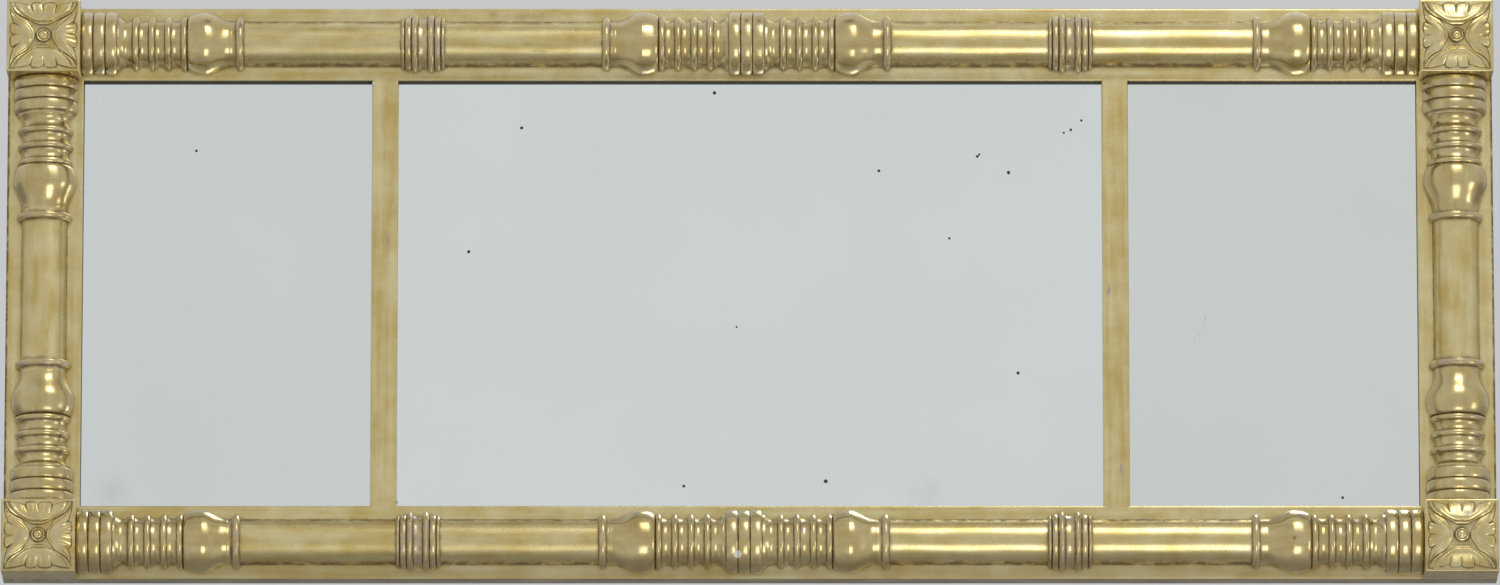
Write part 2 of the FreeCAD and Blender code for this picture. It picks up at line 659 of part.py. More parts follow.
def main():
    """Write each node to its own file."""
    os.makedirs("parts", exist_ok=True)
    nodes = build()
    for name, shape in nodes.items():
        shape.exportStep("parts/" + name + ".step")
    print(len(nodes), "nodes")


main()
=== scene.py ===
# %% [markdown]
# # A gilt overmantel mirror
# The real mirror is a pine frame about five feet wide that stands on a mantel shelf. Half columns, turned
# on a lathe and sawn down the middle, lie on its rails and stiles. Four square blocks with carved
# rosettes close the corners, and two flat dividers part the three old plates. Everything that shows from
# the front wears gold leaf.
#
# The CAD model fixes every size and place, so this lesson only dresses it. We load it, keep its box, and
# work in metres in the same frame: X to the right, Y to the wall, Z up.

# %% Load the imported model
import math
from collections import namedtuple

import bmesh
import bpy
import numpy as np
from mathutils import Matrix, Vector


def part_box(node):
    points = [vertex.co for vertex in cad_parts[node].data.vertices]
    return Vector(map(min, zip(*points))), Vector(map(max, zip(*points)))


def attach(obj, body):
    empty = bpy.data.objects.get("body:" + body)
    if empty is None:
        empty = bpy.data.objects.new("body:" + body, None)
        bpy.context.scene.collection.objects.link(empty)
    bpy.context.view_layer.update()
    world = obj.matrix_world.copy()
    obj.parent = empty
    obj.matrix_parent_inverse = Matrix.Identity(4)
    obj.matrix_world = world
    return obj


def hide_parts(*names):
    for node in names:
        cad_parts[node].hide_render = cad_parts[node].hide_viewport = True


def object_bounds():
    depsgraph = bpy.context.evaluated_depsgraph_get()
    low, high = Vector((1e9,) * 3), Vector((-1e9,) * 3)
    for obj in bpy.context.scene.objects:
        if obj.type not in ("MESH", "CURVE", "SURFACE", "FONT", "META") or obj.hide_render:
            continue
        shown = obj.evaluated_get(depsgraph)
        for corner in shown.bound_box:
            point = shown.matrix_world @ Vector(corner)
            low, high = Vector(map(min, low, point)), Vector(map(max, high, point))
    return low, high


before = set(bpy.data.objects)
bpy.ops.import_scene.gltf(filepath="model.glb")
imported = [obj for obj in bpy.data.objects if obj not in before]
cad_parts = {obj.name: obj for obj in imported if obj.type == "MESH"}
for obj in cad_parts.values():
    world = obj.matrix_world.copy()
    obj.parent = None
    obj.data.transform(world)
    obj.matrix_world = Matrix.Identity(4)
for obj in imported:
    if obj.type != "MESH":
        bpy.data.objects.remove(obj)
cad_low, cad_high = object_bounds()
print("CAD box in metres:", tuple(round(x, 3) for x in cad_high - cad_low))

# %% [markdown]
# ## Small helpers
# Colours are picked as hex values, but a renderer counts in linear light, so one function turns one into
# the other. Another adds a shader node and fills its sockets with values or links, and a third gives the
# scale of a pattern from its real size.

# %% Helpers for colours and nodes
MM = 0.001


def linear(hex_colour):
    """An sRGB hex colour as linear red, green, blue and alpha."""
    levels = [int(hex_colour[i : i + 2], 16) / 255 for i in (1, 3, 5)]
    return [c / 12.92 if c <= 0.04045 else ((c + 0.055) / 1.055) ** 2.4 for c in levels] + [1.0]


def fill(node, inputs):
    """Fills a node's sockets, by name or number, with values or with links from other sockets."""
    for key, value in inputs.items():
        if isinstance(value, bpy.types.NodeSocket):
            node.id_data.links.new(value, node.inputs[key])
        else:
            node.inputs[key].default_value = value


def add(tree, kind, inputs=None, **settings):
    """A new shader node with its options set and its sockets filled."""
    node = tree.nodes.new("ShaderNode" + kind)
    for name, value in settings.items():
        setattr(node, name, value)
    fill(node, inputs or {})
    return node


def per(size_mm):
    """The texture scale at which one feature of a pattern measures this many millimetres."""
    return 1 / (size_mm * MM)


def new_material(name):
    """An empty node material, its tree, its shader, which is linked to the output, and the position."""
    material = bpy.data.materials.new(name)
    material.use_nodes = True
    tree = material.node_tree
    tree.nodes.clear()
    shader = add(tree, "BsdfPrincipled")
    add(tree, "OutputMaterial", {"Surface": shader.outputs[0]})
    return material, tree, shader, add(tree, "TexCoord").outputs["Object"]


# %% [markdown]
# Patterns are built from few kinds of nodes, so each kind gets a short name: arithmetic on numbers and on
# vectors, a change of range, a mix of two colours, and noise. A socket knows the tree that it belongs to,
# so these functions need not be told.

# %% Helpers for patterns
def calc(operation, *values, **settings):
    """One step of arithmetic on numbers, the first of which is a socket."""
    inputs = dict(enumerate(values))
    return add(values[0].id_data, "Math", inputs, operation=operation, **settings).outputs[0]


def vector(operation, *values):
    """One step of arithmetic on vectors, the first of which is a socket."""
    inputs = dict(enumerate(values))
    return add(values[0].id_data, "VectorMath", inputs, operation=operation).outputs[0]


def mapped(value, start, end, low=0.0, high=1.0):
    """A number brought from one range to another, and held inside it."""
    inputs = {"Value": value, "From Min": start, "From Max": end, "To Min": low, "To Max": high}
    return add(value.id_data, "MapRange", inputs).outputs[0]


def mixed(share, colour, other, blend="MIX"):
    """A colour with a share of another one mixed in."""
    inputs = {0: share, 6: colour, 7: other}
    return add(share.id_data, "Mix", inputs, data_type="RGBA", blend_type=blend).outputs[2]


def noise(place, scale, detail, **inputs):
    """Soft noise about one half."""
    inputs.update({"Vector": place, "Scale": scale, "Detail": detail})
    return add(place.id_data, "TexNoise", inputs).outputs[0]


# %% [markdown]
# ## Single spots
# An old object has marks in particular places: a speck in the silver, a chip, a smudge. We list each as a
# centre and two half sizes in millimetres. A spot is the distance from its centre, and a little noise in
# the position makes its rim ragged. All spots of a list make one mask.

# %% A mask of spots
def ragged_ground(place, ragged_mm):
    """The position without its depth, shaken by noise so that round spots get ragged rims."""
    inputs = {"Vector": place, "Scale": per(2 * ragged_mm), "Detail": 2.0}
    shake = add(place.id_data, "TexNoise", inputs).outputs["Color"]
    shaken = vector("MULTIPLY_ADD", shake, [ragged_mm * MM] * 3, place)
    return vector("MULTIPLY", shaken, (1, 0, 1))


def spot_mask(ground, spots, soft):
    """1 inside any spot, given as x, z and half sizes in millimetres, and 0 outside, with a soft rim."""
    mask = 0.0
    for x, z, half_width, half_height in spots:
        scale = (per(half_width), 0, per(half_height))
        centre = (-x / half_width, 0, -z / half_height)
        near = vector("MULTIPLY_ADD", ground, scale, centre)
        far = add(ground.id_data, "VectorMath", {0: near}, operation="LENGTH").outputs["Value"]
        mask = calc("MAXIMUM", mapped(far, 1.0, soft), mask)
    return mask


# %% [markdown]
# ## From points to pieces
# Every piece here is a mesh that we work out point by point. This function welds points that fall
# together, makes the mesh, turns all faces outwards and keeps crisp edges crisp. It can also store marks,
# numbers from 0 to 1 on the points, which tell a material where a crest is rubbed or a groove holds dirt.

# %% The function that makes a piece
SHARP_ANGLE = 38
WELD_MM = 0.01
FLAT_MM = 0.001


def weld(points, faces, marks, kinds):
    """Joins points that fall together, and drops faces that this flattens."""
    keys = np.round(points / (WELD_MM * MM)).astype(np.int64)
    _, first, new_number = np.unique(keys, axis=0, return_index=True, return_inverse=True)
    new_number = new_number.ravel()
    kept = []
    for face, kind in zip(faces, kinds):
        ring = [int(new_number[i]) for i in face]
        ring = [v for i, v in enumerate(ring) if v != ring[i - 1]]
        if len(set(ring)) > 2:
            kept.append((ring, kind))
    faces, kinds = zip(*kept)
    return points[first], faces, {name: mark[first] for name, mark in marks.items()}, kinds


def new_object(name, data):
    """An object in the scene."""
    made = bpy.data.objects.new(name, data)
    bpy.context.scene.collection.objects.link(made)
    return made


def piece(name, points, faces, materials, replaced, marks=None, kinds=None, slot="gilded_wood"):
    """A mesh that rides on the frame and stands for a CAD node. Kinds number each face's material."""
    points = points.reshape(-1, 3)
    points, faces, marks, kinds = weld(points, faces, marks or {}, kinds or [0] * len(faces))
    mesh = bpy.data.meshes.new(name)
    mesh.from_pydata(points.tolist(), [], faces)
    for material in materials:
        mesh.materials.append(material)
    mesh.polygons.foreach_set("material_index", kinds)
    for mark, values in marks.items():
        stored = mesh.attributes.new(mark, "FLOAT", "POINT").data
        stored.foreach_set("value", np.asarray(values, np.float32))
    work = bmesh.new()
    work.from_mesh(mesh)
    bmesh.ops.dissolve_degenerate(work, dist=FLAT_MM * MM, edges=work.edges)
    bmesh.ops.recalc_face_normals(work, faces=work.faces)
    work.to_mesh(mesh)
    work.free()
    mesh.shade_smooth()
    mesh.set_sharp_from_angle(angle=math.radians(SHARP_ANGLE))
    made = new_object(name, mesh)
    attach(made, "frame")
    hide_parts(replaced)
    print(name, "has", len(mesh.polygons), "faces")
    return made


# %% [markdown]
# Nearly every piece is a tube of a kind: rows of points, each row a closed ring, with a cap on either
# end.

# %% Faces of tubes
def tube_faces(rows, sides, first=0):
    """Quads round a tube, numbered ring by ring from a first number, and its two caps."""
    number = np.arange(rows * sides).reshape(rows, sides) + first
    beside = np.roll(number, -1, axis=1)
    quads = np.stack([number[:-1], beside[:-1], beside[1:], number[1:]], axis=-1)
    return [tuple(quad) for quad in quads.reshape(-1, 4)] + [tuple(number[0]), tuple(number[-1][::-1])]


def joined(tubes):
    """The points and the faces of many tubes as one mesh."""
    points, faces, first = [], [], 0
    for tube in tubes:
        faces += tube_faces(*tube.shape[:2], first)
        points.append(tube.reshape(-1, 3))
        first += len(points[-1])
    return np.concatenate(points), faces


# %% [markdown]
# ## Water gilding
# The gold is leaf far thinner than a hair, laid over gesso and a coloured clay called bole, then
# burnished. To the eye it is a soft metal: pale yellow, a little uneven from leaf to leaf, with broad
# highlights. Rings and balls were toned with a thin brown glaze. Two hundred years of dusting have rubbed
# crests down to mauve-grey clay in patches, and dirt sits in the grooves. The dark dirt colour also paints
# shade into grooves, corners and seams, and the clay colour paints shade on carved slopes that face away
# from the lamps. A picture of gold would slide about in other light, so the shader mixes metal, bare clay
# and dirt with painted shade by masks.

# %% The tone of the leaf
GOLD = linear("#DED09E")
GOLD_DEEP = linear("#C8B06E")


def stretched(place, streak_mm):
    """The position counted in streaks, whose lengths along X, Y and Z are given."""
    return vector("MULTIPLY", place, [per(size) for size in streak_mm])


def leaf_tone(place, streak_mm):
    """Pale and deep leaf in uneven streaks: its colour, and the streaks by themselves."""
    streaks = noise(stretched(place, streak_mm), 1.0, 5.0)
    mottle = noise(place, per(30), 4.0, Roughness=0.6)
    tone = mapped(calc("ADD", streaks, mottle), 0.75, 1.25)
    return mixed(tone, GOLD_DEEP, GOLD), streaks


# %% Where the leaf is rubbed, and where its clay colour is painted shade
RUBBED_SPOTS_MM = ((369, 302, 3, 9), (381, 116, 3, 9), (-370, 355, 3, 11), (-387, 518, 3, 4))


def attribute(tree, name):
    """A mark that the points of a mesh carry."""
    return add(tree, "Attribute", attribute_name=name).outputs["Fac"]


def rubbed_and_shaded_mask(tree, ground, uneven):
    """Where the leaf is rubbed through: on crests, in patches, and in single spots. On carved slopes the
    crest mark is painted shade.
    """
    patchy = calc("MULTIPLY", attribute(tree, "crest"), mapped(uneven, 0.36, 0.66))
    crests = mapped(patchy, 0.12, 0.8, high=0.75)
    return calc("MAXIMUM", crests, spot_mask(ground, RUBBED_SPOTS_MM, 0.3))


# %% Where dirt and painted shade lie
# Smudges of dirt; the last, long one is a painted shadow under the top column, along the top rail's lower
# strip.
SMUDGES_AND_SHADOW_MM = (
    (-225, 590, 36, 5), (-262, 592, 7, 5), (-225, 556, 11, 4), (-215, 549, 14, 2), (0, 526, 690, 7),
)
# Dark marks: chips on the rings, and patches on the balls beside their highlights that are painted dark
# reflections.
DARK_MARKS_AND_REFLECTIONS_MM = (
    (-14.5, 579, 2.4, 2.8), (-2.0, 579, 2.4, 2.8), (10.8, 579, 2.6, 3.2), (-521.5, 575, 2.0, 4.5),
    (-624.5, 548, 1.8, 5.0), (-610.5, 542, 1.8, 5.0), (-596.5, 543, 1.8, 5.0), (-526.5, 24, 1.9, 8.0),
    (103.5, 579, 8.0, 3.5), (-555, 579, 5.0, 3.0), (563, 64, 7.0, 3.5), (555.5, 38, 3.0, 3.0),
)
SMUDGE_AND_SHADOW_SHARE = 0.55
MARK_AND_REFLECTION_SHARE = 0.8
CORNER_SHADE_REACH_MM = 9
DUST_FROM_MM = 24
DUST_FULL_MM = 8


def openness(tree, reach_mm):
    """1 where a point lies in the open, less in corners and seams."""
    return add(tree, "AmbientOcclusion", {"Distance": reach_mm * MM}, samples=6).outputs["AO"]


def dirt_and_shade_mask(tree, place, ground, uneven):
    """Dirt and painted shade: both in grooves, corners and seams, smudges and marks with a painted shadow
    and painted reflections among them, and dust near the shelf.
    """
    # Darkening in corners from openness is painted shade. The groove mark holds dirt and painted shade in
    # grooves, seams, cuts and along the stiles' outer edges.
    corner = mapped(openness(tree, CORNER_SHADE_REACH_MM), 0.62, 0.12)
    dirt_and_shade = calc("MAXIMUM", attribute(tree, "groove"), corner)
    dirt_and_shade = calc("MULTIPLY", dirt_and_shade, mapped(uneven, 0.34, 0.64, 0.22, 0.75))
    dirt_and_shade = mapped(dirt_and_shade, 0.08, 0.55, high=0.9)
    # Smudges of dirt, and one painted shadow under the top column.
    smudges = calc("MULTIPLY", spot_mask(ground, SMUDGES_AND_SHADOW_MM, 0.2), uneven)
    dirt_and_shade = calc("MULTIPLY_ADD", smudges, SMUDGE_AND_SHADOW_SHARE, dirt_and_shade)
    # Dark marks, some of them painted dark reflections on the balls.
    marks = spot_mask(ground, DARK_MARKS_AND_REFLECTIONS_MM, 0.3)
    dirt_and_shade = calc("MULTIPLY_ADD", marks, MARK_AND_REFLECTION_SHARE, dirt_and_shade, use_clamp=True)
    height = add(tree, "SeparateXYZ", {0: place}).outputs["Z"]
    dust = mapped(height, DUST_FROM_MM * MM, DUST_FULL_MM * MM, high=0.3)
    return calc("MAXIMUM", dirt_and_shade, dust)


# %% [markdown]
# With leaf and masks at hand, the gilding itself is a stack: glaze over leaf, then clay, dirt and chips,
# where clay and dirt also carry painted shade. What is not leaf is no metal either, and it is rougher.

# %% Gold leaf on gesso
# Mauve-grey clay where leaf is rubbed through; on carved slopes that face away from the lamps it is painted
# shade.
RUBBED_AND_SHADED_CLAY = linear("#A3927F")
# Dark brown of dirt, also used as painted shade in grooves, corners and seams.
DIRT_AND_SHADE = linear("#57431F")
BARE_GESSO = linear("#DDD7C9")
OLD_GLAZE = linear("#E8E2D0")
CHIPS_MM = ((-11, 22, 4.5, 4.0), (-386, 520, 2, 2))
GLAZE_GLOSS = -0.05
BARE_ROUGHER = 0.3


def glazed(gold, glaze, uneven):
    """Leaf under a thin brown glaze: it darkens, and stays metal."""
    share = calc("MULTIPLY", glaze, mapped(uneven, 0.3, 0.7, 0.6, 1.0))
    return mixed(share, gold, OLD_GLAZE, "MULTIPLY")


def gilding(name, streak_mm, smooth, rough):
    """Leaf gilding with brush marks of three lengths along X, Y and Z."""
    material, tree, shader, place = new_material(name)
    ground = ragged_ground(place, ragged_mm=3.0)
    uneven = noise(place, per(11), 4.0, Roughness=0.65)
    leaf, streaks = leaf_tone(place, streak_mm)
    glaze = attribute(tree, "glaze")
    rubbed_and_shaded = rubbed_and_shaded_mask(tree, ground, uneven)
    dirt_and_shade = dirt_and_shade_mask(tree, place, ground, uneven)
    chips = spot_mask(ground, CHIPS_MM, 0.8)
    colour = glazed(leaf, glaze, uneven)
    # The clay and the dark brown are also painted shade here.
    for share, layer in ((rubbed_and_shaded, RUBBED_AND_SHADED_CLAY), (dirt_and_shade, DIRT_AND_SHADE), (chips, BARE_GESSO)):
        colour = mixed(share, colour, layer)
    bare = calc("MAXIMUM", calc("MAXIMUM", rubbed_and_shaded, dirt_and_shade), chips)
    gloss = mapped(noise(place, per(2.2), 3.0), 0.3, 0.7, smooth, rough)
    gloss = calc("MULTIPLY_ADD", glaze, GLAZE_GLOSS, gloss)
    bump = add(tree, "Bump", {"Strength": 0.3, "Distance": 0.12 * MM, "Height": streaks})
    sockets = {"Base Color": colour, "Metallic": calc("MULTIPLY_ADD", bare, -1.0, 1.0)}
    sockets["Roughness"] = calc("MULTIPLY_ADD", bare, BARE_ROUGHER, gloss)
    sockets.update({"Coat Weight": glaze, "Coat Roughness": 0.12, "Normal": bump.outputs[0]})
    fill(shader, sockets)
    return material


turned_along_x = gilding("burnished_leaf_along_x", (70, 9, 9), 0.24, 0.28)
turned_along_z = gilding("burnished_leaf_along_z", (9, 9, 70), 0.26, 0.32)
gilt_along_x = gilding("matt_leaf_along_rails", (140, 7, 7), 0.24, 0.33)
gilt_along_z = gilding("matt_leaf_along_stiles", (7, 7, 140), 0.24, 0.33)
gilt_carved = gilding("leaf_on_carving", (14, 14, 14), 0.20, 0.30)
print("five kinds of gilding")

# %% [markdown]
# ## Bare pine
# The back of the frame was never finished: sawn pine that has gone brown. Growth rings are the contour
# lines of a smooth noise that is drawn out along the board, and a finer noise gives the fibres. Each
# board takes its pattern from another place, so no two match. Where a point lies less in the open, a
# dark colour stands for stain round the heads of iron nails and paints shade in seams and corners.

# %% Old pine, sawn and unfinished
PINE_TONES = ("#BE9A69", "#80593A")
EDGE_TONES = ("#A39A85", "#6C624C")
SHADE_TONES = ("#3A2C18", "#191208")
PINE_STAIN_AND_SHADE = linear("#2C2018")
STAIN_AND_SHADE_REACH_MM = 7
RINGS = 12.0
RING_SWIRL = 0.13
RING_SHARE = 0.1


def pine(name, tones, streak_mm, shift=0.0):
    """Sawn pine of two tones, its pattern taken from some metres away."""
    material, tree, shader, place = new_material(name)
    pale, dark = (linear(tone) for tone in tones)
    own = stretched(vector("ADD", place, [shift] * 3), streak_mm)
    grain = noise(own, 1.0, 6.0, Distortion=0.6)
    swirl = noise(own, RING_SWIRL, 1.0)
    rings = calc("SINE", calc("MULTIPLY", swirl, RINGS * 2 * math.pi))
    rings = mapped(rings, -1.0, 1.0, -RING_SHARE, RING_SHARE)
    tone = mapped(calc("ADD", grain, rings), 0.2, 0.74)
    # Darkening from openness: stain round nail heads, and painted shade in seams and corners.
    stain_and_shade = mapped(openness(tree, STAIN_AND_SHADE_REACH_MM), 0.92, 0.45, high=0.85)
    colour = mixed(stain_and_shade, mixed(tone, dark, pale), PINE_STAIN_AND_SHADE)
    bump = add(tree, "Bump", {"Strength": 0.5, "Distance": 0.3 * MM, "Height": grain})
    fill(shader, {"Base Color": colour, "Roughness": 0.75, "Normal": bump.outputs[0]})
    return material


pine_along_x = pine("sawn_pine_along_x", PINE_TONES, (260, 5, 5))
pine_along_z = pine("sawn_pine_along_z", PINE_TONES, (5, 5, 260))
edge_along_x = pine("ochre_washed_edge_along_x", EDGE_TONES, (90, 9, 9))
edge_along_z = pine("ochre_washed_edge_along_z", EDGE_TONES, (9, 9, 90))
sight_shadow = pine("dark_sight_edge", SHADE_TONES, (60, 6, 6))
print("five kinds of pine")

# %% [markdown]
# ## Half columns
# A turner shapes a long blank on the lathe, saws it in half lengthwise and lays the halves on the frame.
# Its outline is a list of members: broad rings, a hollow, thin rings, a ball, a neck and a plain shaft.
# We write each member as a length and a formula for its radius, string them together, and spin the
# outline through half a turn. A screw modifier could do the spinning, but by hand we also get the marks
# for wear, dirt and painted shade, and the small unevenness of hand work: no two rings have quite the
# same radius.

# %% Member shapes that a turner cuts
def bead(foot, crown, fullness=2.0):
    """A round ring that swells from its foot to its crown and back."""
    return lambda t: foot + (crown - foot) * (1 - np.abs(2 * t - 1) ** fullness) ** (1 / fullness)


def hollow(start, end, depth):
    """A straight run, or one that dips by a depth in the middle."""
    return lambda t: start + (end - start) * t - depth * np.sin(np.pi * t)


def swell(start, end):
    """A quarter of an ellipse that comes out level."""
    return lambda t: start + (end - start) * np.sqrt(1 - (1 - t) ** 2)


def sweep(start, end):
    """An S-shaped run, level at both ends."""
    return lambda t: start + (end - start) * (1 - np.cos(np.pi * t)) / 2


# %% The members of one motif, as lengths and radii in millimetres
Member = namedtuple("Member", "length shape steps wear")
SHAFT_RADIUS = 23.6
SHAFT_STEPS = 24
STEPS = 11
BROAD_RINGS = [Member(12.3, bead(30.4, 33.2, 2.5), STEPS, 0.45)] * 3
FILLET = Member(3.0, hollow(29.0, 28.6, 0), 4, 0.5)
COVE = Member(12.3, hollow(27.4, 26.0, 3.0), STEPS, 0.0)
THIN_RING = Member(7.2, bead(25.6, 29.0, 1.8), STEPS, 0.5)
THIN_GAP = Member(9.4, hollow(25.6, 25.6, 1.3), STEPS, 0.0)
BALL = [Member(16.4, swell(27.4, 33.0), 14, 0.3), Member(27.6, sweep(33.0, 24.2), 18, 0.2)]
NECK = Member(5.4, hollow(24.2, 24.2, 0.3), 5, 0.0)
END_RING = Member(8.2, bead(24.2, 28.8, 2.2), STEPS, 1.0)
SHOULDER = [Member(4.4, bead(24.6, 27.6), STEPS, 0.8), Member(6.5, bead(27.0, 28.7), STEPS, 0.9)]
RIDGE = Member(7.2, bead(27.4, 31.6, 1.4), STEPS, 1.0)
COLLAR_HOLLOW = Member(9.0, hollow(28.0, 28.0, 0.8), STEPS, 0.8)


def reverse(members):
    """The same members read from the other end."""
    return [m._replace(shape=lambda t, shape=m.shape: shape(1 - t)) for m in reversed(members)]


def length_of(members):
    """The length of a run of members."""
    return sum(m.length for m in members)


def tail(thin_rings):
    """From the broad rings to the shaft: a fillet, a cove, thin rings, the ball, its neck and a ring."""
    rings = [THIN_RING] + [THIN_GAP, THIN_RING] * (thin_rings - 1)
    return [FILLET, COVE] + rings + BALL + [NECK, END_RING]


COLLAR = SHOULDER + [RIDGE, COLLAR_HOLLOW, RIDGE] + reverse(SHOULDER)

# %% [markdown]
# The turner worked by eye, so collars and middle motifs sit a few millimetres off their marks, and one
# end of a long column is stretched. We give each column those two numbers and let the plain shafts take
# up the rest.

# %% Columns as strings of members
COLLAR_PLACE_SHARE = 0.484
SET_BY_EYE = {"top_column": (-3.5, 1.02), "bottom_column": (-6.0, 1.05)}


def strung(first, placed):
    """A first run of members, then others about their centres, with shafts between."""
    members = list(first)
    for run, centre in placed:
        bare = centre - length_of(run) / 2 - length_of(members)
        members += [Member(bare, hollow(SHAFT_RADIUS, SHAFT_RADIUS, 0), SHAFT_STEPS, 0.0)] + run
    return members


def short_column(span):
    """An end motif with three thin rings at both ends."""
    motif = BROAD_RINGS + tail(3)
    return strung(motif, [(reverse(motif), span - length_of(motif) / 2)])


def long_column(span, shift, stretch):
    """End motifs with four thin rings, two collars and a doubled motif in the middle."""
    motif = BROAD_RINGS + tail(4)
    middle = reverse(tail(4)) + BROAD_RINGS + tail(4)
    last = [m._replace(length=m.length * stretch) for m in reverse(motif)]
    centre = span / 2 + shift
    place = span / 2 * COLLAR_PLACE_SHARE
    runs = [(COLLAR, centre - place), (middle, centre), (COLLAR, centre + place)]
    return strung(motif, runs + [(last, span - length_of(last) / 2)])


# %% Outlines of columns
RING_UNEVENNESS_MM = 0.22
MARK_STEP_MM = 0.5
MARK_REACH_MM = 9.0
MARK_FULL_MM = 1.5
CORNER_MM = 0.8
CORNER_SLOPE = 0.5


def outline(members, rng):
    """Places along the axis, radii and wear, each member a little off as hand work is."""
    along, radius, wear, start = [], [], [], 0.0
    for m in members:
        t = (1 - np.cos(np.pi * np.arange(m.steps + 1) / m.steps)) / 2
        off = rng.normal(0, RING_UNEVENNESS_MM) if m.steps < SHAFT_STEPS else 0.0
        along.append(start + m.length * t)
        radius.append(m.shape(t) + off * np.sin(np.pi * t) ** 0.5)
        wear.append(np.full_like(t, m.wear * rng.uniform(0.5, 1.1)))
        start += m.length
    return np.concatenate(along), np.concatenate(radius), np.concatenate(wear)


def hump(distance, half_width):
    """1 at no distance, and less on either side."""
    return np.exp(-((distance / half_width) ** 2))


def corner_lines(along, radius):
    """1 in sharp inner corners between members, where dirt and painted shade sit, fading beside them."""
    slope = np.diff(radius) / np.maximum(np.diff(along), WELD_MM)
    border = np.flatnonzero(np.diff(along) < WELD_MM)
    inner = border[slope[border + 1] - slope[border - 1] > CORNER_SLOPE]
    return hump(np.abs(along[:, None] - along[inner]).min(axis=1), CORNER_MM)


def proudness(along, radius):
    """How far points stand out from the radius about them, from -1 in a groove to 1 on a crest."""
    even = np.arange(0, along[-1], MARK_STEP_MM)
    level = np.interp(even, along, radius)
    width = int(MARK_REACH_MM / MARK_STEP_MM) | 1
    padded = np.pad(level, width // 2, mode="edge")
    smooth = np.convolve(padded, np.ones(width) / width, mode="valid")
    return np.clip((radius - np.interp(along, even, smooth)) / MARK_FULL_MM, -1, 1)


# %% [markdown]
# Marks follow from the outline. Crests are rubbed, and grooves and inner corners get dirt and painted
# shade. The seam between column and frame gets painted shade, most of all on ledges and where a narrow
# member is sheltered by its neighbours. Whatever is thicker than the shaft is glazed.

# %% Marks on columns
CREST_SHARE = 0.45
# Dark lines in grooves and inner corners are dirt and painted shade.
GROOVE_SHARE = 0.45
# Painted shade at the seam with the frame: from 50 degrees round the half column, earlier on a rail
# column's upper side, and strongest on the shaft and thin members.
SEAM_SHADE_FROM = math.radians(50)
SEAM_SHADE_SPAN = math.radians(26)
LEDGE_DUST_AND_SHADE = math.radians(10)
SHELTERED_BELOW_MM = 31.5
SHELTER_SPAN_MM = 5.0
SHELTER_LEAST = 0.12
GLAZED_OVER_MM = SHAFT_RADIUS + 0.3


def column_marks(run, turn, along, radius, wear):
    """Crest, groove and glaze marks of a half column along axis number run."""
    proud = proudness(along, radius)
    ledge = np.where(turn > 0, LEDGE_DUST_AND_SHADE, 0) if run == 0 else -LEDGE_DUST_AND_SHADE
    # Painted shade at the seam with the frame.
    seam_shade = np.clip((np.abs(turn) + ledge - SEAM_SHADE_FROM) / SEAM_SHADE_SPAN, 0, 1)
    seam_shade = seam_shade * np.clip((SHELTERED_BELOW_MM - radius[:, None]) / SHELTER_SPAN_MM, SHELTER_LEAST, 1)
    # Grooves and inner corners: dirt and painted shade.
    lines = np.maximum(-GROOVE_SHARE * proud, corner_lines(along, radius))
    crest = np.clip(np.maximum(CREST_SHARE * proud, wear), 0, 1)
    glaze = (radius > GLAZED_OVER_MM).astype(float)
    marks = {name: np.repeat(mark, len(turn)) for name, mark in (("crest", crest), ("glaze", glaze))}
    marks["groove"] = np.maximum(lines[:, None], seam_shade).ravel()
    return marks


# %% Spin the outlines into half columns
FACE_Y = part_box("top_column")[1].y
COLUMN_SIDES = 44
WOBBLE_MM = (0.10, 0.07)
WOBBLE_RUN_MM = (17, 41)


def half_column(name, seed):
    """A half column in place of its CAD node, along the X axis, which is number 0, or along Z, number 2."""
    low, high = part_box(name)
    axis = (low + high) / 2
    run = 0 if name in SET_BY_EYE else 2
    span = (high[run] - low[run]) / MM
    members = short_column(span) if run else long_column(span, *SET_BY_EYE[name])
    along, radius, wear = outline(members, np.random.default_rng(seed))
    turn = np.linspace(-np.pi / 2, np.pi / 2, COLUMN_SIDES + 1)
    wobble = WOBBLE_MM[0] * np.sin(along[:, None] / WOBBLE_RUN_MM[0] + 3 * turn + seed)
    wobble = wobble + WOBBLE_MM[1] * np.sin(along[:, None] / WOBBLE_RUN_MM[1] - 2 * turn)
    out = (radius[:, None] + wobble * np.cos(turn)) * MM
    points = np.zeros(out.shape + (3,))
    points[..., run] = (along * MM + low[run])[:, None]
    points[..., 1] = FACE_Y - out * np.cos(turn)
    points[..., 2 - run] = axis[2 - run] + out * np.sin(turn)
    marks = column_marks(run, turn, along, radius, wear)
    finish = turned_along_z if run else turned_along_x
    return piece(name + "_turned", points, tube_faces(*out.shape), [finish], name, marks)


for seed, side in enumerate(("top", "bottom", "left", "right"), start=1):
    half_column(side + "_column", seed)

# %% [markdown]
# ## Rails and stiles
# Each is a pine bar, stepped behind for the plates and the backboards, and half-lapped at the corners:
# the stiles keep the front of each lap, the rails the back. The gesso rounds every front edge a little.
# We draw the section once, and move copies of it along the bar. Where a lap starts, the front or the back
# points of the section collapse onto the middle plane, which makes the step. Leaf covers the face, a wash
# of ochre the outer edges.

# %% The section of a bar
ARRIS_MM = 1.4
ARRIS_STEPS = 4
LIP_MM = 1.6
FACE_SHARES = (0.04, 0.5, 0.96)
BACK_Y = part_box("top_rail")[1].y
PLATE_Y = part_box("centre_mirror_plate")[0].y
BOARD_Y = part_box("middle_backboard")[0].y
PLATE_STEP = 8 * MM
BOARD_STEP = 16 * MM
BACK_ARRIS = 0.5 * MM
REBATE_POINTS = slice(-6, -2)
LEAF, BARE_PINE, WASHED_EDGE, SIGHT_EDGE = range(4)


def arc_points(centre, radius, start, end):
    """Points on an arc in the section plane, by angles in degrees."""
    angles = np.radians(np.linspace(start, end, ARRIS_STEPS + 1))
    return [(centre[0] + radius * math.cos(a), centre[1] + radius * math.sin(a)) for a in angles]


